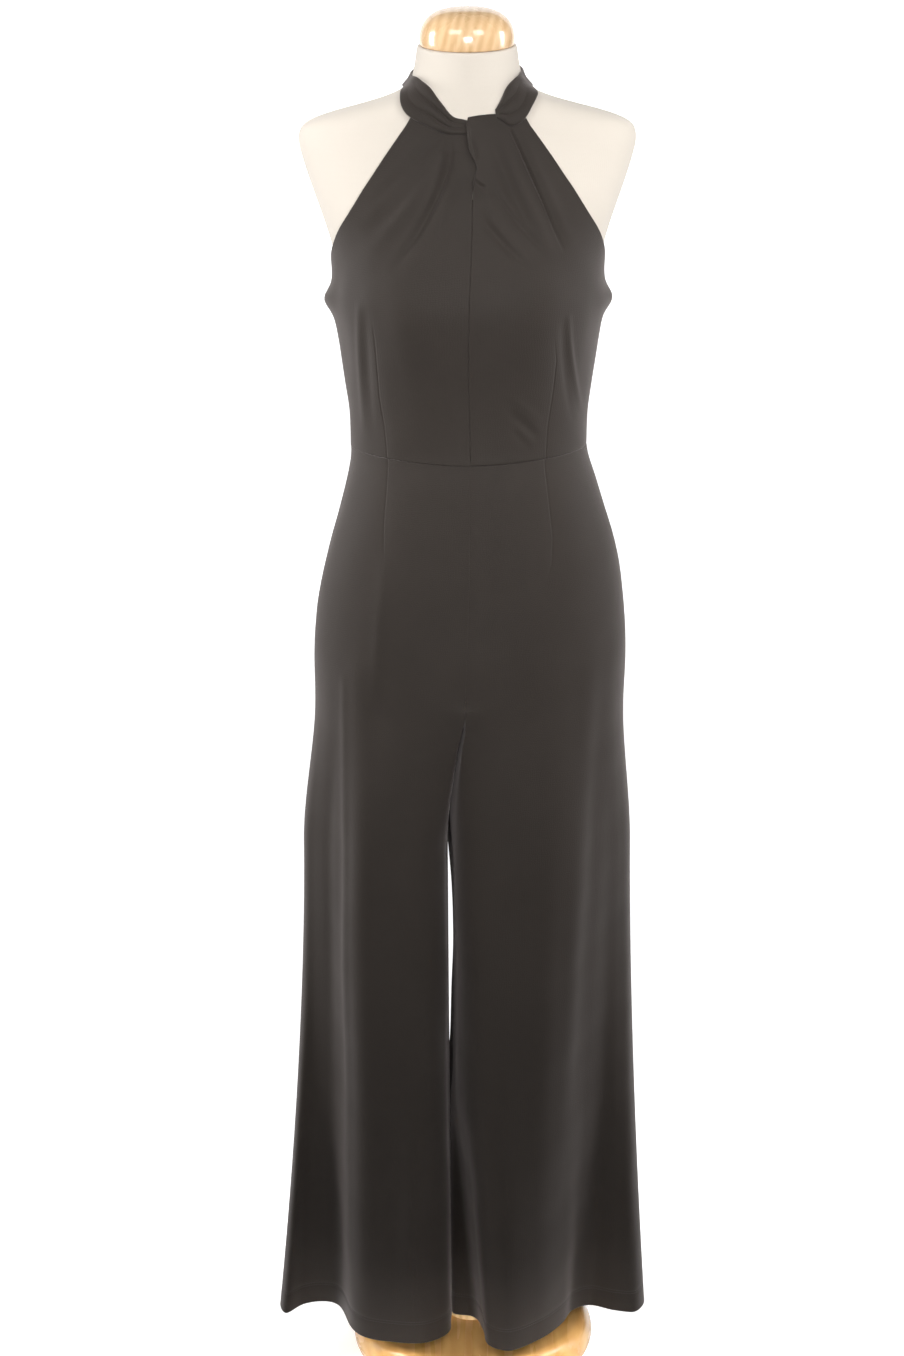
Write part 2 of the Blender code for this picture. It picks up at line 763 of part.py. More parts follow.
def build_back(name, side):
    """A half of the low back, from centre back to the side seam."""
    share = np.linspace(0, 1, BACK_COLUMNS + 1)[None, :]
    seam = np.degrees(SEAM_GAP / 2 / 90)
    turn = side * (180 - seam - share * (90 - 2 * seam))
    up = np.linspace(0, 1, 9)[:, None]
    top = BACK_TOP + (UNDERARM - BACK_TOP) * ramp(share, 0.1, 1.0)
    height = WAIST_SIDE + SEAM_GAP / 2 + (top - WAIST_SIDE) * up
    outer = worn_cloth(turn, height)
    return wall(name, outer, normal_of(worn_cloth, turn, height))


def build_bodice():
    def centre(height):
        return smooth(height, column(BODICE_CENTRE, 0), column(BODICE_CENTRE, 1))

    def free_edge(height):
        return smooth(height, column(FREE_EDGE, 0), column(FREE_EDGE, 1))

    def left_edge(height):
        above = ramp(height, OVERLAP_LOW - 1, OVERLAP_LOW + 1)
        x = centre(height) * (1 - above) + free_edge(height) * above
        return turn_at(x + SEAM_GAP / 2, height)

    def right_edge(height):
        under = ramp(height, OVERLAP_LOW + 2, OVERLAP_LOW + 20)
        above = ramp(height, OVERLAP_LOW - 1, OVERLAP_LOW + 1)
        x = centre(height) * (1 - above) + free_edge(height) * above
        return -turn_at(x - SEAM_GAP / 2 + UNDERLAP * under, height)

    def right_top(turn):
        """The right front ends under its neck band."""
        return 4 + smooth(turn, column(RIGHT_BAND, 0), column(RIGHT_BAND, 2))

    def left_top(turn):
        """The left front's neck edge shows beside the knot, then runs under its band."""
        return smooth(turn, (0, 13, 24, 34, 46), (1375.8, 1378.6, 1380, 1378, 1382))

    build_front("front_right", -1, front_cloth, right_top, right_edge)
    build_front("front_left", 1, lapped_front, left_top, left_edge)
    build_back("back_right", -1)
    build_back("back_left", 1)


def build_neck_bands():
    """The two bands that hold the fronts up, joined at the nape by a button."""
    for name, side, table, panel, first, last in (
        ("neck_band_right", -1, RIGHT_BAND, front_cloth, -3.5, 180 + NAPE_OVERLAP),
        ("neck_band_left", 1, LEFT_BAND, lapped_front, 24.5, 176.0),
    ):
        surface = band_surface(table, side, panel)
        turn = first + (last - first) * np.linspace(0, 1, 22)[None, :] ** 1.5
        share = np.linspace(0, 1, 13)[:, None]
        across = surface(turn + 0.5, share) - surface(turn - 0.5, share)
        up = surface(turn, share + 0.02) - surface(turn, share - 0.02)
        outward = np.cross(across, up) * side
        outward /= np.linalg.norm(outward, axis=-1, keepdims=True)
        wall(name, surface(turn, share), outward)


def build_button():
    """The button at the nape."""
    surface = band_surface(RIGHT_BAND, -1, front_cloth)
    seat = surface(np.array([183.0]), np.array([0.5]))[0]
    out = normal_of(form_surface, np.array([-183.0]), seat[2:3])[0]
    profile = [
        (0, BUTTON_HEIGHT),
        (BUTTON_RADIUS - 1, BUTTON_HEIGHT),
        (BUTTON_RADIUS, BUTTON_HEIGHT - 1),
        (BUTTON_RADIUS, 0.6),
        (BUTTON_RADIUS - 1, 0),
        (0, 0),
    ]
    place = seat + out * LAYER_GAP
    tilt = math.atan2(-out[1], out[2])
    lathe("nape_button", profile, "button", sides=20, place=place, tilt=tilt)


# ---------------------------------------------------------------- the trousers


def seam_point(level, crotch, back):
    """A point of the centre seam, or of the crotch seam that it runs into."""
    x = float(smooth(level, column(TROUSER_CENTRE, 0), column(TROUSER_CENTRE, 1)))
    turned = 180.0 if back else 0.0
    if not crotch:
        at = worn_cloth(turned, float(level))
        return np.array([x, at[1], level])
    angle = crotch * math.pi / 2
    hip = worn_cloth(turned, HIP)[1]
    return np.array(
        [
            x + (CROTCH_X - x) * (1 - math.cos(angle)),
            hip * math.cos(angle),
            FORK - (FORK - CROTCH) * math.sin(angle),
        ]
    )


def seam_outward(level, crotch, back):
    """The cloth's outward direction at a point of the centre or crotch seam."""
    if not crotch:
        out = normal_of(worn_cloth, 180.0 if back else 0.0, float(max(level, HIP)))
        out[0] = 0
        return out / np.linalg.norm(out)
    angle = crotch * math.pi / 2
    out = np.array([0, math.cos(angle) * (1 if back else -1), -math.sin(angle)])
    return out


def build_leg_piece(name, rows, side, back):
    """A front or a back of one leg, from the waist seam to the hem."""
    surface = leg_surface(rows, side)
    across = np.linspace(0, 1, LEG_COLUMNS + 1)
    share = np.zeros((len(LEG_LEVELS), LEG_COLUMNS + 1))
    height = np.zeros_like(share)
    for r, (outer_level, inner_level, crotch) in enumerate(LEG_LEVELS):
        if inner_level is None:
            inner_level = FORK - (FORK - CROTCH) * math.sin(crotch * math.pi / 2)
        if back and r == 0:
            inner_level = outer_level
        begin = share_at_tuck(1 - math.cos(crotch * math.pi / 2), back)
        share[r] = begin + (1.0 - begin) * across
        blend = (1 - across) ** 1.5
        height[r] = outer_level + (inner_level - outer_level) * blend
        if r == 0:
            turn = smooth(share[r], column(rows, 0) + [2.0], column(rows, 1) + [180.0])
            height[r] = WAIST_SIDE - waist_drop(turn) - SEAM_GAP / 2
    outer = surface(share, height)
    nudge = 0.002 * (1 if back else -1)
    round_leg = surface(share - nudge, height) - surface(share + nudge, height)
    up_leg = surface(share, height + 1) - surface(share, height - 1)
    flip = side * (-1 if back else 1)
    at_edges = np.cross(round_leg, up_leg) * flip
    at_edges /= np.linalg.norm(at_edges, axis=-1, keepdims=True)

    # the centre and crotch seams, which both legs share, pull the cloth beside them along
    for r, (_, _, crotch) in enumerate(LEG_LEVELS):
        level = height[r, 0]
        if crotch == 1.0 and level < CROTCH:
            continue
        move = seam_point(level, crotch, back) - outer[r, 0]
        near = np.exp(-(((share[r] - share[r, 0]) / SEAM_REACH) ** 2))
        outer[r] += move * near[:, None]
    tuck = leg_tuck(share)
    seam_height = FORK - (FORK - CROTCH) * np.sqrt(1 - (1 - tuck) ** 2)
    parted = 1 - np.exp(-(seam_height - height).clip(0) / 10)
    outer[..., 0] += side * LEG_PARTING * parted * np.minimum(4 * tuck, 1)

    step = np.gradient(outer, axis=1)
    rise = -np.gradient(outer, axis=0)
    outward = np.cross(step, rise) * flip
    outward /= np.linalg.norm(outward, axis=-1, keepdims=True)
    outward[:, -1] = at_edges[:, -1]
    for r, (_, _, crotch) in enumerate(LEG_LEVELS):
        level = height[r, 0]
        if crotch == 1.0 and level < CROTCH:
            outward[r, 0] = at_edges[r, 0]
        else:
            outward[r, 0] = seam_outward(level, crotch, back)
    for c, towards in ((0, 1), (-1, -2)):
        away = outer[:, towards] - outer[:, c]
        away -= outward[:, c] * (away * outward[:, c]).sum(-1, keepdims=True)
        away /= np.linalg.norm(away, axis=-1, keepdims=True)
        outer[:, c] += away * SEAM_GAP / 2
    for r, (_, _, crotch) in enumerate(LEG_LEVELS):
        if crotch and height[r, 0] >= CROTCH:
            outer[r, 0, 0] += side * SEAM_GAP / 2
    shift = smooth(height, column(LEG_SLOT, 0), column(LEG_SLOT, 1))
    shift = shift * ramp(CROTCH - height, 40, 110) * np.minimum(4 * tuck, 1)
    outer[..., 0] -= shift * ramp(outer[..., 1], 10, 75)
    return wall(name, outer, outward)


def build_trousers():
    for side, word, rows in ((-1, "right", RIGHT_LEG), (1, "left", LEFT_LEG)):
        for back, part in ((False, "front"), (True, "back")):
            build_leg_piece(f"leg_{part}_{word}", rows, side, back)


def main():
    for old in list(bpy.data.objects):
        bpy.data.objects.remove(old)
    build_form()
    build_cap()
    build_stand()
    build_bodice()
    build_neck_bands()
    build_button()
    build_trousers()


main()
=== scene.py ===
"""The looks of a black halter jumpsuit on a limbless dress form with a turned wooden stand.

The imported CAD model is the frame. The garment faces -Y, +X is the wearer's left and the stand's
underside is at Z = 0. Each cut piece of crepe is a sheet of its own, worked out as the solids
are: from the dress form's sections, the ease of the cloth over the form and a row for each fold,
here with fine folds, rolled edges, seams and stitches. The hard pieces are turned and shaped
with Blender's own operators. Tables are in millimetres and everything built is in metres.
"""

import json
import math

import bmesh
import bpy
import numpy as np
from mathutils import Matrix, Vector

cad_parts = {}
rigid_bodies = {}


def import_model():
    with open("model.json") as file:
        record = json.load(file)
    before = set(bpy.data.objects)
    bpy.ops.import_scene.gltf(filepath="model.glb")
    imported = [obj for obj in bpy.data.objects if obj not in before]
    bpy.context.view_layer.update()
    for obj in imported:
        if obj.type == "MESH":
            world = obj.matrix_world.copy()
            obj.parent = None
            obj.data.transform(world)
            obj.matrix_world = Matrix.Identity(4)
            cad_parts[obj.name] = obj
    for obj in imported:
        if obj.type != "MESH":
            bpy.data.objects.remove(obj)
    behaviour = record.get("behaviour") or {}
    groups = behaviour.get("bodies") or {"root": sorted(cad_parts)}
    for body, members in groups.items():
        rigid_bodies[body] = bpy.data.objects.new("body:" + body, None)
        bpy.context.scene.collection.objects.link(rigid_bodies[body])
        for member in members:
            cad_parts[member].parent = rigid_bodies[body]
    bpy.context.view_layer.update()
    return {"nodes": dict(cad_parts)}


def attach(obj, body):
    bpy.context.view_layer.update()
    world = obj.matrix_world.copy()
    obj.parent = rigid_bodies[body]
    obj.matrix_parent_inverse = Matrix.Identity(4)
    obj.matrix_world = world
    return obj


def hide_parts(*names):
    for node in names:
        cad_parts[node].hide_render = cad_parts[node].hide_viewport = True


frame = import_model()
for start in [o for o in bpy.data.objects if o.name in ("Cube", "Light", "Camera")]:
    bpy.data.objects.remove(start)

MM = 0.001
BODY = "root"

# Cloth
CREPE_WALL = 1.2
SEAM_GAP = 0.3  # between two pieces that are sewn together
LAYER_GAP = 0.6  # between a piece and the one that lies on it
TAPE_WALL = 0.5
TAPE_DEPTH = 0.2  # between a seam's cloth and the tape behind it
TAPE_HALF_WIDTH = 4.0
TAPE_COLUMNS = 5
TAPE_LAP = 3.8  # the tapes of other seams end this far from the waist seam, on its tape
STITCH_PITCH = 3.1
FINE_ENDS = (0.0015, 0.004, 0.008, 0.014)  # extra steps at a sheet's ends, as shares

# How an edge of the cloth rolls under: drop, reach
SEAM_ROLL = (0.25, 0.6)
TURNED_ROLL = (0.9, 2.2)
BAND_ROLL = (1.0, 2.4)
HEM_ROLL = (0.6, 1.2)

# Heights above the floor
HEM = 50.0
WAIST_SIDE = 1042.0
WAIST_DIP = 12.0  # the waist seam sinks this much at centre front
UNDERARM = 1196.0
BACK_TOP = 1184.0
NECK_FRONT = 1382.0
CROTCH = 737.0
FORK = 777.0  # where the centre seams start to turn under
HIP = 800.0  # above this the cloth follows the form, and below it hangs free
THIGH = 600.0
FLARE_POWER = 1.6
HEM_STITCHES = (72.8, 75.6)  # heights of the twin-needle rows
STITCH_GROOVE = (0.35, 0.7)  # depth, width

# The form and its stand
NECK_TOP = 1451.5
NECK_TILT = math.radians(12)
NECK_TILT_FROM = 1405.0
CROTCH_X = -20.0

# The form's horizontal sections. fullness 2 is an ellipse, and more is squarer.
#   height, half_width, front, back, fullness
FORM_SECTIONS = (
    (790, 156, 92, 106, 2.3), (820, 159.5, 96, 113, 2.3),
    (860, 158.5, 97, 115, 2.3), (900, 152.5, 96, 109, 2.3),
    (940, 143, 94, 98, 2.3), (980, 131.5, 92, 87, 2.25),
    (1010, 124.5, 91, 80, 2.2), (1042, 121.5, 90, 76, 2.2),
    (1075, 122, 92, 77, 2.2), (1110, 126, 97, 82, 2.2),
    (1150, 131, 104, 88, 2.25), (1190, 136.5, 109, 92, 2.3),
    (1230, 137.5, 103, 93.5, 2.35), (1253, 141.5, 97, 93, 2.4),
    (1290, 154, 88, 90, 2.5), (1320, 165, 79, 85, 2.5),
    (1345, 172.5, 71, 78, 2.5), (1358, 175, 67, 74, 2.45),
    (1367, 174, 64, 71.5, 2.4), (1376, 168, 62, 69, 2.3),
    (1386, 142, 60, 66, 2.2), (1396, 102, 58, 63, 2.1),
    (1406, 71, 57, 60, 2), (1415, 60, 56, 57, 2),
    (1428, 54, 55, 54, 2), (1451.5, 52, 53, 52, 2),
)
BUST_HEIGHT = 1184.0
BUST_APART = 68.0  # from the centre line to each side's fullest point
FORM_BUST = (14, 46)  # depth, radius
CLOTH_BUST = (11, 66)  # the cloth spans from one side to the other

# How far the cloth's outer face stands off the form.
#   height, ease
EASE = (
    (800, 11), (860, 7.5), (940, 9), (1000, 8), (1042, 3.6), (1110, 4.4),
    (1190, 5.2), (1253, 5), (1300, 6), (1350, 6), (1400, 5),
)
LEAST_EASE = 2.4  # what a crease's trough leaves of it

# How far the trousers hang towards the wearer's left of the form's middle.
#   height, shift
HANG = ((800, 0), (868, 1), (936, 3.2), (1003, 2.6), (1042, 0))

UNDERARM_FLARE = (9, 13, 13)  # stand-off, reach in height, reach in degrees

# The front's armhole edge, as the turn from centre front.
#   height, turn
ARMHOLE = (
    (1196, 90), (1230, 84.5), (1260, 71), (1281, 62.3),
    (1313, 55.2), (1346, 49.8), (1376, 44.5), (1390, 42),
)

# Centre front. The seam runs up to the knot, and above it the left front has a free edge
# that lies over the right front.
#   height, x
BODICE_CENTRE = (
    (1028, 0.9), (1074, 0.1), (1132, -1),
    (1188, 0), (1243, 2.8), (1304, 4.6),
)

FREE_EDGE = (
    (1304, 4.6), (1315, 6.6), (1325, 9.4), (1331, 7.8),
    (1340, 2.7), (1354, -0.8), (1368, -1.6), (1378, 0.3),
)

# The left front's neck edge.
#   turn, height
LEFT_NECK_EDGE = ((0, 1375.8), (13, 1378.6), (24, 1380), (34, 1378), (46, 1382))
UNDERLAP = 9.0  # how far the right front reaches under the free edge

# The trousers' centre seam.
#   height, x
TROUSER_CENTRE = (
    (777, -6), (810, -4.5), (900, -1), (1000, 0.5), (1030, 0.9),
)

FRONT_COLUMNS = 120
FRONT_ROWS = (92, 84)  # along centre front, up to the knot and above it
ROWS_BELOW_ARM = 62  # how many of them a front's side seam takes
BACK_GRID = (46, 42)  # columns, rows
BAND_GRID = (130, 54)
FRONT_WAVES = (5, 46, 0.35)  # seed, size, depth
BACK_WAVES = (8, 60, 0.4)
SIDE_RADIUS = 130.0  # how far the side seams lie from the form's middle
BACK_RADIUS = 90.0  # and the centre back seam

# The left front's lift over the right front below and beside the knot.
OVERLAP_LOW = 1304.0
OVERLAP_LIFT = 7.0
OVERLAP_X = -3.0  # where it is lifted most
OVERLAP_REACH = 24.0  # and how far to both sides

# Neck bands, by turn from centre front. top and bottom are the heights of the two edges.
#   turn, top, bottom
RIGHT_BAND = (
    (-4, 1373, 1361), (4, 1375, 1359.5), (13.5, 1378, 1359.5), (23, 1389.5, 1362),
    (33, 1402.5, 1368.5), (46, 1412.5, 1379.5), (56, 1417, 1396), (67, 1419.5, 1405),
    (77, 1421, 1408.5), (90, 1423.5, 1409.5), (135, 1431, 1405), (180, 1437, 1402),
)

LEFT_BAND = (
    (23, 1382, 1377), (28, 1390, 1373.5), (34, 1401, 1368), (41, 1409, 1371.5),
    (50.5, 1415.5, 1388), (60, 1420, 1398), (67, 1423, 1403.5), (77, 1425, 1407.5),
    (90, 1427, 1409), (135, 1433, 1405), (180, 1437, 1402),
)
BAND_PLEATS = 3
BAND_PLEAT_DEPTH = 1.95
PLEATS_FADE = (30, 60)  # the turns between which the pleats fade out
PLEATS_ROOM = (9, 26)  # the band's widths between which they come up
NAPE_RISE = (150, 168)  # the turns between which the button end rises over the other
BAND_OVER_PANEL = 54.0  # up to this turn the band lies on the front piece
BAND_ON_FORM = 76.0  # from this turn it lies round the neck
BAND_EASE = 3.6
NAPE_OVERLAP = 9.0  # degrees that the button side reaches past the other

# The legs' folds, a row for each crest, hollow and seam, from the inseam round the front to
# the side seam (share 1) and round the back to the inseam again (share 2). hip_turn is
# where the row lies round the hips.
#   share, hip_turn, thigh_x, thigh_y, hem_x, hem_y
RIGHT_LEG = (
    (0.000, 0, -24.5, 4, -23.5, 4), (0.125, 0, -24.5, -40, -23.5, -42),
    (0.235, 0, -29, -72, -29, -79), (0.325, 21, -46, -92, -52, -99),
    (0.440, 39.5, -82, -100, -93, -97), (0.560, 54, -117, -92, -128, -81),
    (0.640, 60.5, -134, -74, -140.5, -57), (0.700, 65.5, -145, -58, -150, -19),
    (0.755, 69, -153, -46, -161, -4), (0.810, 72.7, -162, -38, -177, -1),
    (0.870, 77, -171, -29, -196, -9), (0.930, 82, -180, -19, -213, -29),
    (1.000, 90, -184, 0, -222, -5), (1.070, 98, -180, 20, -213, 22),
    (1.150, 106, -171, 44, -189, 34), (1.260, 119, -150, 78, -166, 74),
    (1.370, 135, -119, 105, -133, 105), (1.490, 151, -84, 111, -93, 93),
    (1.610, 166, -53, 107, -56, 108), (1.740, 180, -31, 84, -29, 82),
    (1.870, 180, -24.5, 44, -23.5, 44),
)

LEFT_LEG = (
    (0.000, 0, -20, 4, -19, 4), (0.085, 0, -20.5, -26, -19, -32),
    (0.150, 0, -20, -48, 2, -40), (0.235, 0, -16, -76, 11, -72),
    (0.325, 14, -1, -96, 17, -106), (0.400, 27, 24, -104, 37, -119),
    (0.510, 41, 65, -104, 72, -97), (0.640, 55, 109, -88, 102, -55),
    (0.720, 63.5, 133, -64, 114, -27), (0.790, 70, 148, -47, 134, -15),
    (0.870, 76, 162, -32, 162, -28), (0.940, 83, 172, -17, 186, -31),
    (1.000, 90, 176, 0, 197.5, -8), (1.070, 98, 173, 20, 192, 18),
    (1.150, 107, 162, 46, 171, 36), (1.260, 121, 142, 80, 151, 78),
    (1.370, 136, 108, 106, 118, 106), (1.490, 151, 71, 112, 80, 94),
    (1.610, 166, 32, 108, 40, 110), (1.740, 180, 0, 88, 6, 86),
    (1.870, 180, -18, 46, -17, 46),
)

FRONT_TUCK = 0.235  # from the inseam to here the cloth lies between the legs
BACK_TUCK = 1.74
TUCK_ROUNDING = 0.15
SEAM_REACH = 0.13  # how far round the leg the centre seams pull the cloth along
LEG_PARTING = 1.0  # how far each leg stands off the other below the crotch seam

# A leg piece's rows of faces. inner is the height at its centre seam or inseam, and crotch
# how far the row has come along the crotch seam, where inner follows from it.
#   outer, inner, crotch
LEG_LEVELS = (
    (1042, 1030, 0), (1008, 1000, 0), (960, 955, 0),
    (910, 906, 0), (862, 859, 0), (822, 815, 0),
    (790, 777, 0), (766, None, 0.25), (744, None, 0.50),
    (720, None, 0.75), (694, 737, 1), (640, 676, 1),
    (570, 590, 1), (480, 490, 1), (370, 374, 1),
    (255, 256, 1), (145, 145, 1), (50, 50, 1),
)
LEG_COLUMNS = 84
LEG_ROW_HEIGHT = 5.2  # about how tall a row of a leg's faces is
LEG_WAVES = ((3, 120, 0.7), (13, 52, 0.3))
CROTCH_ROWS = (6, 10)  # the rows between which the inner edge follows the crotch seam
WAIST_ROWS = (0.6, 1.5, 3.0)  # extra rows, by their distance from the waist seam
HEM_ROWS = (50, 50.6, 51.6, 53, 71.8, 72.8, 73.6, 74.8, 75.6, 76.6)  # extra rows, by height
HIP_EASING = ((835, 872), (742, 775))  # the heights between which easing fades in and out
HIP_PASSES = 30

# Creases of the front, which run out from the knot. Each is a curve from point 1 to point 3
# that point 2 draws aside. A trough has a negative depth, and lip is how high the cloth
# rolls up beside it, on the upper side.
CREASE_STEPS = 16  # straight steps that follow the curve
#   x1, z1, x2, z2, x3, z3, width, depth, lip
FRONT_CREASES = (
    (-19, 1354, -12, 1318, -78, 1224, 5, -2.2, 1.5),
    (-17, 1352, -13, 1318, -72, 1232, 2.2, -1.1, 0),
    (-4, 1330, -28, 1276, -64, 1222, 9, 1.5, 0),
    (-34, 1338, -62, 1305, -104, 1262, 8, -2.1, 0.7),
    (-24, 1356, -52, 1318, -92, 1276, 5, 1.4, 0),
    (-22, 1346, -52, 1302, -100, 1244, 7, 1.6, 0),
    (43, 1366, 66, 1316, 97, 1245, 1.3, -2.6, 0),
    (43, 1366, 66, 1316, 97, 1245, 6, -0.9, 0.8),
    (56, 1352, 76, 1302, 108, 1250, 8, 1.3, 0),
    (24, 1350, 46, 1298, 74, 1240, 7, -2, 0.8),
    (34, 1352, 57, 1298, 86, 1238, 6, 1.4, 0),
    (12, 1281, 30, 1258, 62, 1228, 4, -2.3, 1),
    (26, 1304, 46, 1276, 76, 1244, 4, -2, 0.9),
    (10, 1312, 28, 1274, 60, 1236, 6, 1.3, 0),
    (-24, 1362, -58, 1330, -98, 1292, 6, -1.6, 0.6),
    (-8, 1318, -17, 1270, -36, 1226, 6, -1, 0.3),
    (1.5, 1369, 0.5, 1358, 3, 1346, 1.5, 1.5, 0),
    (4.5, 1352, 7, 1344, 9, 1334, 2.4, -2, 0),
    (6, 1316, 11, 1310, 18, 1309, 1.6, -1.9, 0.8),
    (-111, 1192, -113, 1140, -109, 1060, 3.5, 1.5, 0),
    (-104, 1184, -105, 1130, -100, 1056, 4, -1.1, 0),
    (101, 1180, 103, 1130, 118, 1078, 3, 1.6, 0),
    (95, 1172, 96, 1125, 108, 1068, 4, -1.1, 0),
    (40, 1085, 56, 1074, 72, 1056, 4.5, -1.6, 0.6),
    (46, 1098, 60, 1086, 74, 1074, 4, 0.9, 0),
    (44, 1066, 54, 1056, 64, 1044, 4, -0.8, 0.4),
)

# Folds of the hanging legs, seen from the front.
#   x1, z1, x2, z2, x3, z3, width, depth, lip
RIGHT_FOLDS = (
    (-90, 925, -95, 860, -103, 770, 6, 1.4, 0),
    (-34, 618, -80, 420, -88, 230, 20, -3.5, 0),
    (-64, 300, -66, 200, -70, 60, 11, 3, 0),
    (-30, 420, -22, 300, -20, 130, 8, -2, 0.6),
    (-133, 800, -134, 500, -138, 40, 4, 1.9, 0),
    (-118, 810, -122, 500, -126, 30, 15, 4.5, 0),
)
LEFT_FOLDS = (
    (142, 840, 132, 620, 100, 130, 10, -1.3, 0.4),
    (126, 800, 116, 560, 92, 140, 12, 1, 0),
    (40, 640, 48, 400, 52, 120, 20, -2, 0),
    (84, 620, 80, 400, 76, 60, 14, 1.6, 0),
    (4, 560, 12, 360, 18, 180, 8, 1.2, 0),
)

# Daylight shows between the legs where the back of the slot lies little to one side.
#   height, shift
SLOT_BACK = (
    (50, 11), (320, 10), (352, 7), (420, 4.2), (485, 1.4),
    (545, 3.2), (590, 7), (640, 10.5), (737, 10.5),
)

SLOT_DEPTH = 44.0  # from the middle to where the whole shift is reached
SLOT_CLOSING = 4.6  # how far the left leg leans over above and below the daylight
KNEE, KNEE_REACH, KNEE_SHIFT = 345.0, 85.0, 6.5  # and its front, at this height

# Darts, from the open end at the waist seam to the point, as x and z.
BODICE_DARTS = {
    -1: ((-85.5, 1042), (-88, 1069), (-92.4, 1099), (-95.3, 1149), (-99.2, 1191)),
    1: ((79.3, 1042), (80.7, 1067), (86, 1107), (88.8, 1137), (85.4, 1164)),
}
TROUSER_DARTS = {
    -1: ((-84.6, 1030), (-89.4, 965), (-89.5, 929)),
    1: ((77.5, 1030), (82.2, 988), (85.9, 956), (84.8, 929), (79.2, 911)),
}

DART_COLUMN = 0.5  # the share of a piece's columns at which its dart lies
DART_BESIDE = (0.004, 0.009, 0.015)  # extra columns beside it
DART_GROOVE = ((0.55, 0.75), (0.25, 6))  # depth, width
DART_EASING = 70.0  # beyond its point the dart's column goes back to its place in this

# What each piece of crepe was cut to before it was sewn and hung.
#   node: width, length, area in square metres, how it is held
CUTS = {
    "front_right": (182, 372, 0.060, "gathered"),
    "front_left": (182, 382, 0.060, "gathered"),
    "back_right": (184, 158, 0.0275, "hung"),
    "back_left": (184, 158, 0.0275, "hung"),
    "neck_band_right": (36, 262, 0.0088, "gathered"),
    "neck_band_left": (36, 212, 0.0072, "gathered"),
    "leg_front_right": (372, 1030, 0.290, "hung"),
    "leg_front_left": (372, 1030, 0.306, "hung"),
    "leg_back_right": (398, 1040, 0.300, "hung"),
    "leg_back_left": (398, 1040, 0.312, "hung"),
}


# ---------------------------------------------------------------- curves and surfaces


def cubic(t, start, end, rise, last_rise):
    """The curve from start to end as t goes from 0 to 1, by how it rises at both."""
    return (
        start * (1 + 2 * t) * (1 - t) ** 2
        + rise * t * (1 - t) ** 2
        + end * t * t * (3 - 2 * t)
        + last_rise * t * t * (t - 1)
    )


def smooth(x, xs, ys, periodic=0.0):
    """The value at x of a smooth curve through the rows (xs, ys).

    It has no overshoot unless it is periodic."""
    xs, ys = np.asarray(xs, float), np.asarray(ys, float)
    if periodic:
        xs = np.concatenate([xs[-3:] - periodic, xs, xs[:3] + periodic])
        ys = np.concatenate([ys[-3:], ys, ys[:3]])
    step = np.diff(xs)
    slope = np.diff(ys) / step
    weighted = (slope[:-1] * step[1:] + slope[1:] * step[:-1]) / (step[:-1] + step[1:])
    if not periodic:
        least = 3 * np.minimum(np.abs(slope[:-1]), np.abs(slope[1:]))
        turning = slope[:-1] * slope[1:] <= 0
        weighted = np.where(turning, 0, np.clip(weighted, -least, least))
    tangent = np.concatenate([[slope[0]], weighted, [slope[-1]]])
    x = np.clip(np.asarray(x, float), xs[0], xs[-1])
    i = np.clip(np.searchsorted(xs, x, "right") - 1, 0, len(xs) - 2)
    t = (x - xs[i]) / step[i]
    return cubic(t, ys[i], ys[i + 1], tangent[i] * step[i], tangent[i + 1] * step[i])


def column(table, n):
    return [row[n] for row in table]


def follow(table, x, n=1, periodic=0.0):
    """The value at x of the smooth curve through a table's columns 0 and n."""
    return smooth(x, column(table, 0), column(table, n), periodic)


def ramp(x, low, high):
    """0 below low, 1 above high, and smooth between."""
    t = np.clip((np.asarray(x, float) - low) / (high - low), 0, 1)
    return t * t * (3 - 2 * t)


def bell(x, width):
    return np.exp(-((x / width) ** 2))


def length_of(v):
    return np.linalg.norm(v, axis=-1)


def unit(v):
    return v / np.linalg.norm(v, axis=-1, keepdims=True)


def round_form(turn, height, bust):
    """A point of the form's surface.

    turn is in degrees from centre front, positive to the wearer's left."""
    half_width, front, back, fullness = [follow(FORM_SECTIONS, height, n) for n in (1, 2, 3, 4)]
    sine, cosine = np.sin(np.radians(turn)), np.cos(np.radians(turn))
    depth = np.where(cosine > 0, front, back)
    reach = (
        np.abs(sine / half_width) ** fullness + np.abs(cosine / depth) ** fullness
    ) ** (-1 / fullness)
    x, y = reach * sine, -reach * cosine
    bust_depth, radius = bust
    for side in (-1, 1):
        off = ((x - side * BUST_APART) / radius) ** 2
        off = off + ((height - BUST_HEIGHT) / radius) ** 2
        y = y - bust_depth * np.exp(-off) * ramp(cosine, 0, 0.5)
    return np.stack(np.broadcast_arrays(x, y, height), axis=-1).astype(float)


def tilt_neck(p):
    """Raises the back and lowers the front of the neck's top."""
    share = ramp(p[..., 2], NECK_TILT_FROM, NECK_TOP)
    p = p.copy()
    p[..., 2] += p[..., 1] * math.tan(NECK_TILT) * share
    return p


def normal_of(surface, turn, height, step=1):
    """The outward direction of surface(turn, height)."""
    across = surface(turn + 0.5, height) - surface(turn - 0.5, height)
    up = surface(turn, height + step) - surface(turn, height - step)
    return unit(np.cross(across, up))


def form_surface(turn, height):
    return tilt_neck(round_form(turn, height, FORM_BUST))


def spanned_form(turn, height):
    """The form as the cloth spans it."""
    return tilt_neck(round_form(turn, height, CLOTH_BUST))


def cloth_ease(turn, height):
    """How far the outer face of smooth cloth stands off the form."""
    flare, tall, wide = UNDERARM_FLARE
    from_side = (np.abs(np.abs(turn) - 90) / wide) ** 2
    return follow(EASE, height) + flare * np.exp(-from_side - ((height - UNDERARM) / tall) ** 2)


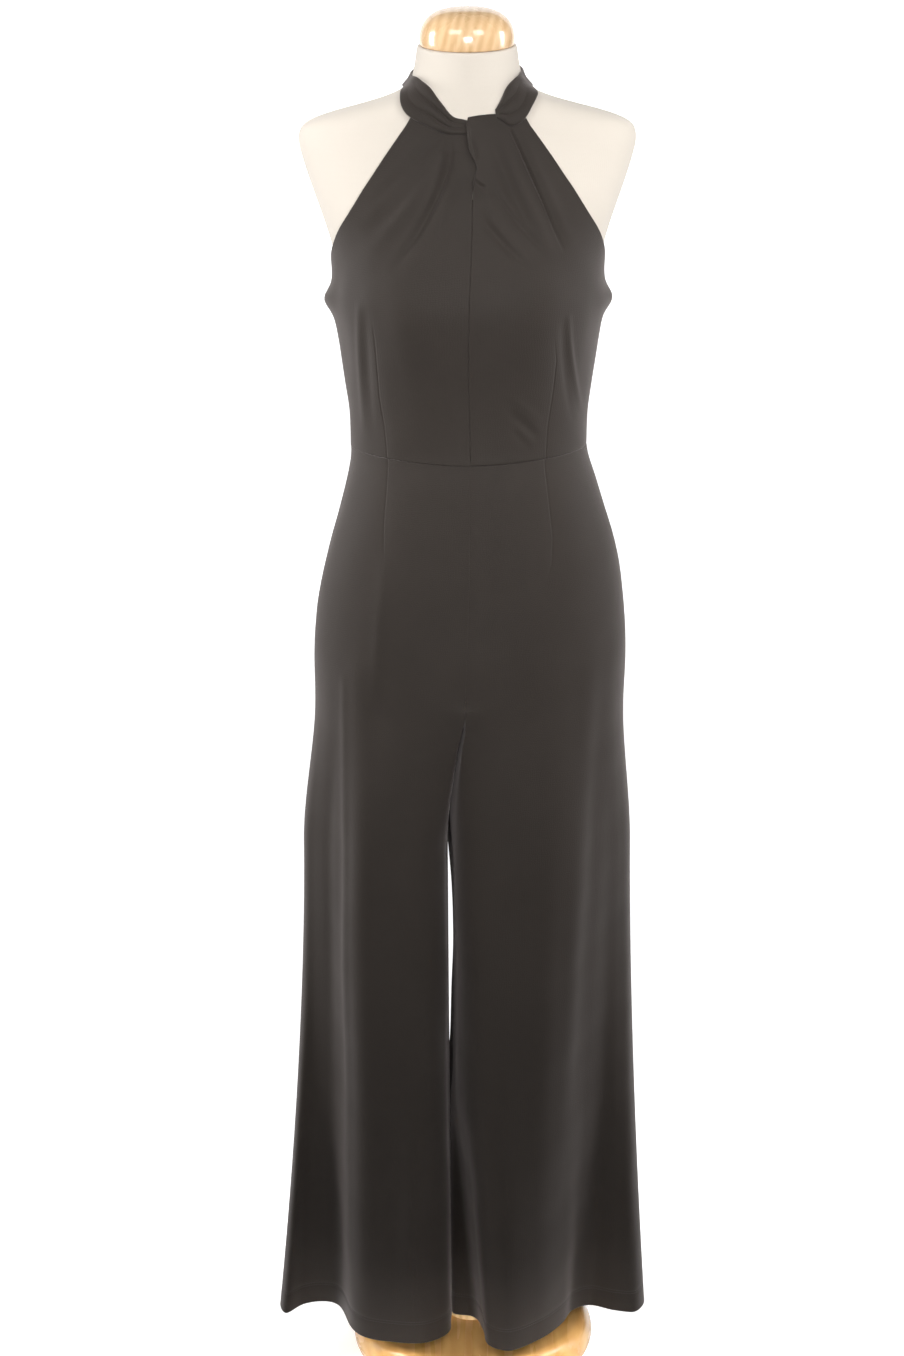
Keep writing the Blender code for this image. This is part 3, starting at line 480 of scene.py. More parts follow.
def worn_cloth(turn, height):
    """The outer face of smooth cloth over the form."""
    out = normal_of(spanned_form, turn, height)
    p = spanned_form(turn, height) + out * cloth_ease(turn, height)[..., None]
    p[..., 0] += follow(HANG, height)
    return p


def crease_height(x, z, crease):
    """How far one crease lifts the cloth at (x, z), seen from the front."""
    x1, z1, x2, z2, x3, z3, width, depth, lip = crease
    t = np.linspace(0, 1, CREASE_STEPS + 1)
    run_x = (1 - t) ** 2 * x1 + 2 * t * (1 - t) * x2 + t * t * x3
    run_z = (1 - t) ** 2 * z1 + 2 * t * (1 - t) * z2 + t * t * z3
    away, along = np.full(np.shape(x), 1e9), np.zeros(np.shape(x))
    above = np.zeros(np.shape(x))
    for n in range(CREASE_STEPS):
        across, up = run_x[n + 1] - run_x[n], run_z[n + 1] - run_z[n]
        share = (x - run_x[n]) * across + (z - run_z[n]) * up
        share = np.clip(share / (across**2 + up**2), 0, 1)
        off_x, off_z = x - run_x[n] - share * across, z - run_z[n] - share * up
        here = np.hypot(off_x, off_z)
        along = np.where(here < away, t[n] + share / CREASE_STEPS, along)
        above = np.where(here < away, off_z > 0, above)
        away = np.minimum(here, away)
    fade = np.sin(np.pi * np.clip(0.12 + 0.88 * along, 0, 1)) ** 0.8
    rolls = lip * bell(away - 1.4 * width, 0.8 * width) * above
    rolls = rolls * ramp(along, 0, 0.2) * ramp(1 - along, 0, 0.2)
    return fade * (depth * bell(away, width) + rolls)


def all_creases(p, creases):
    return sum(crease_height(p[..., 0], p[..., 2], crease) for crease in creases)


def front_cloth(turn, height):
    """The outer face of the fronts, with their creases."""
    p = worn_cloth(turn, height)
    lift = np.maximum(all_creases(p, FRONT_CREASES), LEAST_EASE - cloth_ease(turn, height))
    return p + normal_of(worn_cloth, turn, height) * lift[..., None]


def lapped_front(turn, height):
    """The left front, which stands over the right front beside the knot."""
    p = front_cloth(turn, height)
    lift = OVERLAP_LIFT * ramp(p[..., 2], OVERLAP_LOW - 8, OVERLAP_LOW + 12)
    lift = lift * bell(p[..., 0] - OVERLAP_X, OVERLAP_REACH)
    return p + normal_of(worn_cloth, turn, height) * lift[..., None]


def turn_at(x, height):
    """The turn at which the front cloth passes x, near the centre line."""
    return np.degrees(np.arctan2(x, -worn_cloth(0.0 * x, height)[..., 1]))


def waist_seam(turn):
    """The height of the waist seam, which sinks towards centre front."""
    return WAIST_SIDE - WAIST_DIP * np.maximum(np.cos(np.radians(turn)), 0) ** 1.5


def band_surface(table, side, panel):
    """The outer face of a neck band as a function of its turn and the share of its width.

    Its first end lies on the front piece whose outer face is panel."""

    def surface(turn, share):
        turn, share = np.broadcast_arrays(np.asarray(turn, float), np.asarray(share, float))
        top, bottom = [follow(table, np.minimum(turn, 180), n) for n in (1, 2)]
        height = bottom + (top - bottom) * share
        pleated = (1 - ramp(turn, *PLEATS_FADE)) * ramp(top - bottom, *PLEATS_ROOM)
        pleats = np.abs(np.sin(np.pi * BAND_PLEATS * share)) ** 0.8
        over = CREPE_WALL + 1.5 * LAYER_GAP + BAND_PLEAT_DEPTH * pleats * pleated
        round_neck = np.full_like(over, BAND_EASE)
        if side < 0:  # the button end lies on the other band's end
            round_neck = round_neck + (CREPE_WALL + 2 * LAYER_GAP) * ramp(turn, *NAPE_RISE)
        turn = side * turn
        on_panel = normal_of(panel, turn, height) * over[..., None] + panel(turn, height)
        on_neck = normal_of(form_surface, turn, height) * round_neck[..., None]
        on_neck = on_neck + form_surface(turn, height)
        share_of_neck = ramp(np.abs(turn), BAND_OVER_PANEL, BAND_ON_FORM)[..., None]
        return on_panel * (1 - share_of_neck) + on_neck * share_of_neck

    return surface


def leg_tuck(share):
    """0 on the outside of the legs, rising to 1 at the inseam between them."""
    t = np.maximum(1 - share / FRONT_TUCK, (share - BACK_TUCK) / (2 - BACK_TUCK))
    t = t.clip(0)
    return (1 + TUCK_ROUNDING) * t * t / (t + TUCK_ROUNDING)


def share_at_tuck(tuck, back):
    """The share of the girth at which leg_tuck is tuck."""
    full = 1 + TUCK_ROUNDING
    t = (tuck + math.sqrt(tuck * tuck + 4 * full * TUCK_ROUNDING * tuck)) / (2 * full)
    return BACK_TUCK + (2 - BACK_TUCK) * t if back else FRONT_TUCK * (1 - t)


def hip_turn(rows, share):
    """The turn round the hips at which a share of the leg's girth lies."""
    return smooth(share, column(rows, 0) + [2.0], column(rows, 1) + [180.0])


def around_hips(rows, share, height, side):
    """The point of a leg's piece at hip height or above, by its share of the leg's girth."""
    p = worn_cloth(side * hip_turn(rows, share), height)
    centre = follow(TROUSER_CENTRE, height)
    from_seam = np.minimum(share - FRONT_TUCK, BACK_TUCK - share).clip(0)
    tuck = leg_tuck(share)
    p[..., 0] += centre * bell(from_seam, SEAM_REACH)
    p[..., 0] += (CROTCH_X - centre) * tuck
    p[..., 1] *= 1 - tuck
    return p


def leg_surface(rows, side):
    """The outer face of a leg as a function of its share of the girth and its height."""

    def surface(share, height):
        share, height = np.broadcast_arrays(np.asarray(share, float), np.asarray(height, float))
        wrapped = np.mod(share, 2.0)
        thigh = [follow(rows, wrapped, n, 2.0) for n in (2, 3)]
        hem = [follow(rows, wrapped, n, 2.0) for n in (4, 5)]
        worn = around_hips(rows, wrapped, np.maximum(height, HIP), side)
        at_hip = around_hips(rows, wrapped, np.full_like(height, HIP), side)
        above = around_hips(rows, wrapped, np.full_like(height, HIP + 10), side)
        t = np.clip((HIP - height) / (HIP - THIGH), 0, 1)
        spread = np.clip((THIGH - height) / (THIGH - HEM), 0, None) ** FLARE_POWER
        out = worn.copy()
        for n in (0, 1):
            fall = (at_hip[..., n] - above[..., n]) / 10 * (HIP - THIGH)
            hanging = cubic(t, at_hip[..., n], thigh[n], fall, 0) + (hem[n] - thigh[n]) * spread
            out[..., n] = np.where(height >= HIP, worn[..., n], hanging)
        out[..., 2] = height
        return out

    return surface


def seam_point(level, crotch, back):
    """A point of the centre seam, or of the crotch seam that it runs into."""
    x = float(follow(TROUSER_CENTRE, level))
    turned = 180.0 if back else 0.0
    if not crotch:
        return np.array([x, worn_cloth(turned, float(level))[1], level])
    angle = crotch * math.pi / 2
    return np.array([
        x + (CROTCH_X - x) * (1 - math.cos(angle)),
        worn_cloth(turned, HIP)[1] * math.cos(angle),
        FORK - (FORK - CROTCH) * math.sin(angle),
    ])


def seam_outward(level, crotch, back):
    """The cloth's outward direction at a point of the centre or crotch seam."""
    if not crotch:
        return unit(normal_of(worn_cloth, 180.0 if back else 0.0, max(level, HIP)) * (0, 1, 1))
    angle = crotch * math.pi / 2
    return np.array([0, math.cos(angle) * (1 if back else -1), -math.sin(angle)])


# ---------------------------------------------------------------- sheets of crepe


def steps_between(count, fine=()):
    """Even steps from 0 to 1, with fine steps at both ends."""
    ends = np.array(fine, float)
    steps = [np.linspace(0, 1, count + 1), ends, 1 - ends]
    return np.unique(np.round(np.concatenate(steps), 6))


def run_from(outer, edge):
    """How far each point of the grid lies from one of its edges, along the cloth."""
    axis = 0 if edge in ("top", "bottom") else 1
    step = length_of(np.diff(outer, axis=axis))
    pad = [(1, 0), (0, 0)] if axis == 0 else [(0, 0), (1, 0)]
    run = np.pad(np.cumsum(step, axis=axis), pad)
    if edge in ("last", "bottom"):
        run = (run[-1:] if axis == 0 else run[:, -1:]) - run
    return run


def rolled(outer, outward, **edges):
    """Rolls the cloth under along the named edges: first, last, top or bottom."""
    drop = np.zeros(outer.shape[:2])
    for edge, (depth, reach) in edges.items():
        t = np.clip(1 - run_from(outer, edge) / reach, 0, 1)
        drop = np.maximum(drop, depth * (1 - np.sqrt(1 - t * t)))
    return outer - outward * drop[..., None]


def facing(outer, flip):
    """The outward direction over a grid of points."""
    return unit(np.cross(np.gradient(outer, axis=1), np.gradient(outer, axis=0)) * flip)


def placed(name, vertices, faces, finish):
    """A smooth piece from corners in millimetres."""
    mesh = bpy.data.meshes.new(name)
    mesh.from_pydata((vertices * MM).tolist(), [], faces)
    mesh.shade_smooth()
    mesh.materials.append(finish)
    made = bpy.data.objects.new(name, mesh)
    bpy.context.scene.collection.objects.link(made)
    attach(made, BODY)
    return made


laid = {}  # the outer face and the outward directions of each sheet, by its name


def sheet(name, outer, outward, thickness=CREPE_WALL):
    """A closed sheet of cloth. outer[row, column] is its outer face, in millimetres."""
    laid[name] = (outer, outward)
    rows, columns = outer.shape[:2]
    index = np.arange(rows * columns).reshape(rows, columns)
    quads = np.stack([index[:-1, :-1], index[:-1, 1:], index[1:, 1:], index[1:, :-1]], -1)
    quads = quads.reshape(-1, 4)
    rim = [index[0], index[1:, -1], index[-1, :-1][::-1], index[1:-1, 0][::-1]]
    rim = np.concatenate(rim)
    after = np.roll(rim, -1)
    under = rows * columns
    edge = np.stack([after, rim, rim + under, after + under], -1)
    faces = np.concatenate([quads, quads[:, ::-1] + under, edge])
    corners = outer.reshape(-1, 3)[quads]
    normal = np.cross(corners[:, 1] - corners[:, 0], corners[:, 3] - corners[:, 0])
    if (normal * outward.reshape(-1, 3)[quads[:, 0]]).sum() < 0:
        faces = faces[:, ::-1]
    sides = [face.reshape(-1, 3) for face in (outer, outer - outward * thickness)]
    made = placed(name, np.concatenate(sides), faces.tolist(), crepe)

    # the map lays the cloth out flat, in metres
    across = length_of(np.diff(outer, axis=1)).mean(axis=0)
    along = length_of(np.diff(outer, axis=0)).mean(axis=1)
    u, v = np.meshgrid(np.append(0, np.cumsum(across)), np.append(0, np.cumsum(along)))
    flat = np.stack([u, -v], -1).reshape(-1, 2) * MM
    corner = np.zeros(len(made.data.loops), np.int32)
    made.data.loops.foreach_get("vertex_index", corner)
    layer = made.data.uv_layers.new(name="Cut")
    layer.data.foreach_set("uv", flat[corner % under].astype(np.float32).ravel())
    made.data.set_sharp_from_angle(angle=math.radians(60))
    return made


def soft_waves(p, seed, size, depth):
    """Slow unevenness of hanging cloth: a sum of slanting waves."""
    rng = np.random.default_rng(seed)
    total = 0.0
    for _ in range(7):
        direction = unit(rng.normal(size=3) * (1.0, 1.0, 0.45))
        length = size * rng.uniform(0.7, 1.6)
        total = total + np.sin(p @ direction * 2 * np.pi / length + rng.uniform(0, 6.28))
    return total * depth / 3


def with_dart(columns):
    """Adds columns close beside the one that follows the dart."""
    beside = np.array([0.0, *DART_BESIDE])
    columns = [columns, DART_COLUMN - beside, DART_COLUMN + beside]
    return np.unique(np.round(np.concatenate(columns), 6))


def along_dart(columns, at):
    """Moves the columns so that the dart's column lies at the share at[row] of the width."""
    at = at[:, None]
    before = columns / DART_COLUMN * at
    after = at + (columns - DART_COLUMN) / (1 - DART_COLUMN) * (1 - at)
    return np.where(columns < DART_COLUMN, before, after)


def dart_share(outer, columns, dart):
    """The share of each row's width at which the dart crosses it, even beyond its point."""
    open_end, point = dart[0][1], dart[-1][1]
    middle = outer[:, len(columns) // 2, 2]
    side = np.sign(dart[0][0])
    upwards = sorted(dart, key=lambda place: place[1])
    dart_x = np.interp(middle, column(upwards, 1), column(upwards, 0))
    at = [np.interp(side * x, side * row[:, 0], columns) for x, row in zip(dart_x, outer)]
    beyond = ramp((point - middle) / np.sign(open_end - point), 0, DART_EASING)
    return np.clip(at, 0.25, 0.75) * (1 - beyond) + DART_COLUMN * beyond


def sew_dart(outer, outward, columns, dart):
    """Draws the cloth in along the dart's column, from its open end to its point."""
    open_end, point = dart[0][1], dart[-1][1]
    middle = outer[:, np.argmin(abs(columns - DART_COLUMN))]
    away = length_of(outer - middle[:, None])
    held = ramp((middle[:, 2] - point) / (open_end - point), 0, 0.25)[:, None]
    drawn = sum(depth * bell(away, width) for depth, width in DART_GROOVE)
    return outer - outward * (drawn * held)[..., None]


def build_front(name, side, surface, top, near, top_roll):
    """A front, from the waist seam to the neck and from centre front to the side seam."""
    columns = with_dart(steps_between(FRONT_COLUMNS, FINE_ENDS))
    low = waist_seam(columns[None, :] * 90) + SEAM_GAP / 2
    sewn = steps_between(FRONT_ROWS[0], (0.001, 0.003))
    centre = low[0, 0] + (OVERLAP_LOW - low[0, 0]) * sewn
    free = steps_between(FRONT_ROWS[1], (0.004, 0.01, 0.02))[1:]
    centre = np.append(centre, OVERLAP_LOW + (float(top(0.0)) - OVERLAP_LOW) * free)
    side_low = low[0, -1]
    edge = np.interp(
        np.linspace(0, 1, ROWS_BELOW_ARM + 1), (0, 0.03, 1), (side_low, side_low + 1.2, UNDERARM)
    )
    above = len(centre) - len(edge)
    edge = np.append(edge, np.linspace(UNDERARM, NECK_FRONT, above + 1)[1:])
    up = np.linspace(0, 1, len(edge))[:, None]
    far = follow(ARMHOLE, edge)
    far -= np.where(edge <= UNDERARM, np.degrees(SEAM_GAP / 2 / SIDE_RADIUS), 0)
    start = near(centre)[:, None]

    def laid_out(share):
        turn = start + share * (far[:, None] - start)
        low = waist_seam(share * 90) + SEAM_GAP / 2
        straight = centre[:, None] * (1 - share) + edge[:, None] * share
        height = straight + (1 - up) ** 3 * (low - straight)[:1]
        return side * turn, height + up**3 * (top(turn[-1:]) - straight[-1:])

    dart = BODICE_DARTS[side]
    at = dart_share(surface(*laid_out(columns[None, :])), columns, dart)
    turn, height = laid_out(along_dart(columns, at))
    outer, outward = surface(turn, height), normal_of(surface, turn, height)
    inside = np.minimum(run_from(outer, "first"), run_from(outer, "bottom"))
    uneven = soft_waves(outer, *FRONT_WAVES) * ramp(inside, 0, 18)
    outer = outer + outward * uneven[..., None]
    outer = sew_dart(outer, outward, columns, dart)
    edges = {"first": SEAM_ROLL, "bottom": SEAM_ROLL, "last": TURNED_ROLL, "top": top_roll}
    return sheet(name, rolled(outer, outward, **edges), outward)


sewn_on = {}  # the pieces that are sewn to each sheet, by the sheet's node


def declare_sheets():
    """Hides the solid that each sheet of crepe stands for, by the nodes listed in CUTS."""
    for node, (width, length, area, held) in CUTS.items():
        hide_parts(node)


def build_bodice():
    """The fronts, crossed over each other at the knot, and the low backs."""

    def seam_x(height):
        """Where the centre seam lies, and above it the left front's free edge."""
        above = ramp(height, OVERLAP_LOW - 1, OVERLAP_LOW + 1)
        return follow(BODICE_CENTRE, height) * (1 - above) + follow(FREE_EDGE, height) * above

    def left_edge(height):
        return turn_at(seam_x(height) + SEAM_GAP / 2, height)

    def right_edge(height):
        under = ramp(height, OVERLAP_LOW + 2, OVERLAP_LOW + 20)
        return -turn_at(seam_x(height) - SEAM_GAP / 2 + UNDERLAP * under, height)

    def right_top(turn):
        """The right front ends under its neck band."""
        return 4 + follow(RIGHT_BAND, turn, 2)

    def left_top(turn):
        """The left front's neck edge shows beside the knot, then runs under its band."""
        return follow(LEFT_NECK_EDGE, turn)

    build_front("front_right_crepe", -1, front_cloth, right_top, right_edge, SEAM_ROLL)
    build_front("front_left_crepe", 1, lapped_front, left_top, left_edge, TURNED_ROLL)
    for side, word in ((-1, "right"), (1, "left")):
        share = steps_between(BACK_GRID[0], FINE_ENDS)[None, :]
        seam_turn = np.degrees(SEAM_GAP / 2 / BACK_RADIUS)
        turn = side * (180 - seam_turn - share * (90 - 2 * seam_turn))
        up = steps_between(BACK_GRID[1], FINE_ENDS)[:, None]
        top = BACK_TOP + (UNDERARM - BACK_TOP) * ramp(share, 0.1, 1)
        height = WAIST_SIDE + SEAM_GAP / 2 + (top - WAIST_SIDE) * up
        outer, outward = worn_cloth(turn, height), normal_of(worn_cloth, turn, height)
        uneven = soft_waves(outer, *BACK_WAVES) * ramp(up, 0, 0.2)
        sides = dict.fromkeys(("first", "last", "top"), SEAM_ROLL)
        outer = outer + outward * uneven[..., None]
        outer = rolled(outer, outward, bottom=TURNED_ROLL, **sides)
        sheet(f"back_{word}_crepe", outer, outward)


def build_neck_bands():
    """The pleated bands, from the knot round the neck to the nape."""
    for name, side, table, panel, first, last in (
        ("neck_band_right_crepe", -1, RIGHT_BAND, front_cloth, -3.5, 180 + NAPE_OVERLAP),
        ("neck_band_left_crepe", 1, LEFT_BAND, lapped_front, 24.5, 176.0),
    ):
        surface = band_surface(table, side, panel)
        along = steps_between(BAND_GRID[0], (0.0008, 0.002))[None, :]
        turn = first + (last - first) * along**1.3
        share = steps_between(BAND_GRID[1], (0.006, 0.018, 0.035))[:, None]
        outward = normal_of(surface, turn, share, 0.02) * side
        edges = dict.fromkeys(("first", "last", "top", "bottom"), BAND_ROLL)
        sheet(name, rolled(surface(turn, share), outward, **edges), outward)


# ---------------------------------------------------------------- the trousers


def leg_rows():
    """Fractional rows of LEG_LEVELS, closer together at the waist seam and the hem."""
    rows = []
    for r, (upper, lower) in enumerate(zip(LEG_LEVELS, LEG_LEVELS[1:])):
        count = max(4, round((upper[0] - lower[0]) / LEG_ROW_HEIGHT))
        rows.append(r + np.arange(count) / count)
    first, last = len(LEG_LEVELS) - 2, LEG_LEVELS[-2][0]
    hem = first + (last - np.array(HEM_ROWS)) / (last - LEG_LEVELS[-1][0])
    waist = np.array(WAIST_ROWS) / (LEG_LEVELS[0][0] - LEG_LEVELS[1][0])
    return np.unique(np.round(np.concatenate([*rows, waist, hem]), 5))


def leave_hips(outer, height):
    """Lets the cloth leave the hips in a soft curve, away from the centre seam."""
    top, bottom = HIP_EASING
    eased = ramp(height, *bottom) * (1 - ramp(height, *top))
    eased = 0.5 * (eased * ramp(run_from(outer, "first"), 6, 40))[1:-1, :, None]
    for _ in range(HIP_PASSES):
        halfway = (outer[:-2] + outer[2:]) / 2 - outer[1:-1]
        outer[1:-1] += eased * halfway * (1, 1, 0)


def part_legs(outer, share, height, tuck, side, back):
    """Leans the slot between the legs, and closes it but for where daylight shows through."""
    between = np.minimum(4 * tuck, 1)
    shift = follow(SLOT_BACK, height) * ramp(CROTCH - height, 25, 90) * between
    outer[..., 0] -= shift * ramp(outer[..., 1], 0, SLOT_DEPTH)
    if side > 0:
        closed = ramp(height, 585, 660) * ramp(CROTCH - height, 12, 60)
        closed = closed + 1 - ramp(height, 300, 360)
        outer[..., 0] -= SLOT_CLOSING * closed * between
    if side > 0 and not back:
        beside = ramp(share, 0.06, 0.15) * (1 - ramp(share, 0.2, 0.42))
        outer[..., 0] -= KNEE_SHIFT * bell(height - KNEE, KNEE_REACH) * beside


def build_leg_piece(name, rows, folds, side, back):
    """A front or a back of one leg, from the waist seam to the hem."""
    surface = leg_surface(rows, side)
    columns = steps_between(LEG_COLUMNS, (0.0012, 0.003, 0.006))
    columns = columns if back else with_dart(columns)
    at = leg_rows()

    def by_row(n, missing=None):
        values = [missing if value is None else value for value in column(LEG_LEVELS, n)]
        return np.interp(at, np.arange(len(values)), values)

    outer_level, crotch = by_row(0), by_row(2)
    inner_level = np.where(
        (at > CROTCH_ROWS[0]) & (at < CROTCH_ROWS[1]),
        FORK - (FORK - CROTCH) * np.sin(crotch * math.pi / 2),
        by_row(1, CROTCH),
    )
    if back:
        inner_level = inner_level + (WAIST_SIDE - LEG_LEVELS[0][1]) * (1 - at).clip(0)
    begin = np.array([share_at_tuck(1 - math.cos(c * math.pi / 2), back) for c in crotch])

    def laid_out(across):
        share = begin[:, None] + (1 - begin[:, None]) * across
        fall = (inner_level - outer_level)[:, None] * (1 - across) ** 1.5
        return share, outer_level[:, None] + fall

    share, height = laid_out(columns)
    if not back:
        crossed = dart_share(surface(share, height), columns, TROUSER_DARTS[side])
        share, height = laid_out(along_dart(columns, crossed))
    waist = waist_seam(hip_turn(rows, share)) - SEAM_GAP / 2
    height = height + (waist - height[:1]) * (1 - at).clip(0)[:, None]
    outer = surface(share, height)
    flip = side * (-1 if back else 1)

    # the centre and crotch seams, which both legs share, pull the cloth beside them along
    for r, c in enumerate(crotch):
        level = height[r, 0]
        held = bell(CROTCH - min(level, CROTCH), 14)
        if held < 0.01:
            break
        seam = seam_point(max(level, CROTCH), c, back)
        free = surface(share[r, :1], np.maximum(height[r, :1], CROTCH))[0]
        outer[r] += (seam - free) * held * bell(share[r] - share[r, 0], SEAM_REACH)[:, None]
    tuck = leg_tuck(share)
    seam_height = FORK - (FORK - CROTCH) * np.sqrt(1 - (1 - tuck) ** 2)
    parted = 1 - np.exp(-(seam_height - height).clip(0) / 10)
    outer[..., 0] += side * LEG_PARTING * parted * np.minimum(4 * tuck, 1)
    leave_hips(outer, height)

    outward = -facing(outer, flip)
    for r, c in enumerate(crotch):
        if c < 1 or height[r, 0] >= CROTCH:
            outward[r, 0] = seam_outward(height[r, 0], c, back)
    edge = np.minimum(run_from(outer, "first"), run_from(outer, "last"))
    edge = np.minimum(edge, run_from(outer, "top"))
    lift = sum(soft_waves(outer, seed + side, *wave) for seed, *wave in LEG_WAVES)
    if not back:
        lift = lift + all_creases(outer, folds)
    hang = ramp(edge, 0, 26) * ramp(-tuck, -0.55, -0.1)
    outer = outer + outward * (lift * hang)[..., None]
    outward = np.where((edge < 3)[..., None], outward, -facing(outer, flip))
    for c, towards in ((0, 1), (-1, -2)):
        away = outer[:, towards] - outer[:, c]
        away -= outward[:, c] * (away * outward[:, c]).sum(-1, keepdims=True)
        outer[:, c] += unit(away) * SEAM_GAP / 2
    held = (crotch > 0) & (height[:, 0] >= CROTCH)
    outer[held, 0, 0] += side * SEAM_GAP / 2
    part_legs(outer, share, height, tuck, side, back)
    if not back:
        outer = sew_dart(outer, outward, columns, TROUSER_DARTS[side])
    sides = dict.fromkeys(("first", "last", "top"), SEAM_ROLL)
    outer = rolled(outer, outward, bottom=HEM_ROLL, **sides)
    depth, width = STITCH_GROOVE
    for z in HEM_STITCHES:
        outer = outer - outward * (depth * bell(outer[..., 2] - z, width))[..., None]
    sheet(name + "_crepe", outer, outward)
    sewn = [np.argmin(abs(outer[:, 0, 2] - z)) for z in HEM_STITCHES]
    return [(outer[r], outward[r]) for r in sewn]


def part_way(line, run, at):
    """The points of a line where its run is at."""
    return np.stack([np.interp(at, run, line[:, n]) for n in range(3)], axis=-1)


def stitch_shape():
    """One stitch of the hem, 2.3 mm long, lying along X."""
    stitch = added(
        "stitch", bpy.ops.mesh.primitive_cylinder_add,
        vertices=6, radius=0.22 * MM, depth=1.5 * MM, rotation=(0, math.pi / 2, 0),
    )
    bpy.ops.object.transform_apply(location=True, rotation=True, scale=True)
    bpy.ops.object.mode_set(mode="EDIT")
    for way in (-1, 1):
        mesh = bmesh.from_edit_mesh(stitch.data)
        for face in mesh.faces:
            face.select = abs(face.normal.x - way) < 0.1
        mesh.select_flush_mode()
        bmesh.update_edit_mesh(stitch.data)
        shift = (way * 0.4 * MM, 0, -0.22 * MM)
        bpy.ops.mesh.extrude_region_move(TRANSFORM_OT_translate={"value": shift})
        bpy.ops.transform.resize(value=(1, 0.5, 0.5))
    bpy.ops.object.mode_set(mode="OBJECT")
    return stitch


def sew_along(name, lines):
    """Copies of one stitch along lines of (points, outward directions)."""
    pattern = stitch_shape()
    shape = np.array([v.co for v in pattern.data.vertices]) / MM
    faces = [list(polygon.vertices) for polygon in pattern.data.polygons]
    bpy.data.objects.remove(pattern)
    vertices, polygons = [], []
    for line, outward in lines:
        run = np.append(0, np.cumsum(length_of(np.diff(line, axis=0))))
        for s in np.arange(STITCH_PITCH / 2, run[-1] - STITCH_PITCH / 3, STITCH_PITCH):
            along = unit(part_way(line, run, s + 0.5) - part_way(line, run, s - 0.5))
            side = unit(np.cross(part_way(outward, run, s), along))
            out = np.cross(along, side)
            base = len(vertices) * len(shape)
            place = part_way(line, run, s) + out * 0.12
            vertices.append(place + shape @ np.stack([along, side, out]))
            polygons += [[base + i for i in face] for face in faces]
    return placed(name, np.concatenate(vertices), polygons, thread)


def build_trousers():
    """The fronts and backs of both legs, with their hem stitches."""
    for side, word, rows, folds in (
        (-1, "right", RIGHT_LEG, RIGHT_FOLDS),
        (1, "left", LEFT_LEG, LEFT_FOLDS),
    ):
        for back, part in ((False, "front"), (True, "back")):
            name = f"leg_{part}_{word}"
            hem = build_leg_piece(name, rows, folds, side, back)
            sewn_on[name] = [sew_along(f"hem_stitches_{part}_{word}", hem)]


def tape(name, line, outward):
    """A tape sewn behind a seam, under the cloth on both sides of it."""
    kept = np.append(True, length_of(np.diff(line, axis=0)) > 0.4)
    line, outward = line[kept], outward[kept]
    aside = unit(np.cross(outward, np.gradient(line, axis=0)))
    offsets = np.linspace(-TAPE_HALF_WIDTH, TAPE_HALF_WIDTH, TAPE_COLUMNS)[None, :, None]
    grid = line[:, None] + aside[:, None] * offsets - outward[:, None] * (CREPE_WALL + TAPE_DEPTH)
    return sheet(name, grid, np.repeat(outward[:, None], TAPE_COLUMNS, axis=1), TAPE_WALL)


def build_tapes():
    """Tapes behind the waist, centre and side seams, so that no seam lets the form show."""

    def edge(name, row=slice(None), column=slice(None)):
        return [values[row, column] for values in laid[name + "_crepe"]]

    def between(line, low, high):
        """The part of a line from one height up to another, cut exactly at both."""
        order = np.argsort(line[0][:, 2])
        heights = line[0][order, 2]
        at = np.array([low, *heights[(heights > low) & (heights < high)], high])
        return [part_way(part[order], heights, at) for part in line]

    back = slice(None, None, -1)
    waist = [edge("back_right", 0), edge("front_right", 0, back)]
    waist += [edge("front_left", 0), edge("back_left", 0, back)]
    above, below = WAIST_SIDE + TAPE_LAP, WAIST_SIDE - TAPE_LAP
    lines = [("front_left", "waist_tape", [np.concatenate(part)[2:-2] for part in zip(*waist)])]
    for node, name, end, low, high in (
        ("front_left", "centre_front_tape", 0, above - WAIST_DIP, OVERLAP_LOW - 6),
        ("back_left", "centre_back_tape", 0, above, BACK_TOP - 3),
        ("front_right", "side_tape_right", -1, above, UNDERARM - 3),
        ("front_left", "side_tape_left", -1, above, UNDERARM - 3),
        ("leg_front_left", "fly_tape", 0, FORK + 8, below - WAIST_DIP),
        ("leg_back_left", "seat_tape", 0, FORK + 8, below),
        ("leg_front_right", "hip_tape_right", -1, HEM + 40, below),
        ("leg_front_left", "hip_tape_left", -1, HEM + 40, below),
    ):
        lines.append((node, name, between(edge(node, column=end), low, high)))
    for node, name, line in lines:
        piece = tape(name, *line)
        sewn_on.setdefault(node, []).append(piece)


# ---------------------------------------------------------------- the form and its stand


def only(piece):
    """Makes a piece the one that is selected and worked on."""
    bpy.ops.object.select_all(action="DESELECT")
    piece.select_set(True)
    bpy.context.view_layer.objects.active = piece


def added(name, operator, **how):
    """What one of Blender's operators adds, under a name of its own."""
    bpy.ops.object.select_all(action="DESELECT")
    operator(**how)
    made = bpy.context.object
    made.name = made.data.name = name
    return made


def select_only(piece, chosen, edges=False):
    """Selects the faces, or the edges, that chosen picks of the piece in edit mode."""
    mesh = bmesh.from_edit_mesh(piece.data)
    for part in (mesh.verts, mesh.edges, mesh.faces):
        for element in part:
            element.select = False
    for element in mesh.edges if edges else mesh.faces:
        if chosen(element):
            element.select_set(True)
    mesh.select_flush_mode()
    bmesh.update_edit_mesh(piece.data)


def disc(way):
    """Picks the flat disc at one end of a turned piece: 1 is the top and -1 the underside."""
    return lambda face: face.normal.z * way > 0.99 and len(face.verts) > 4


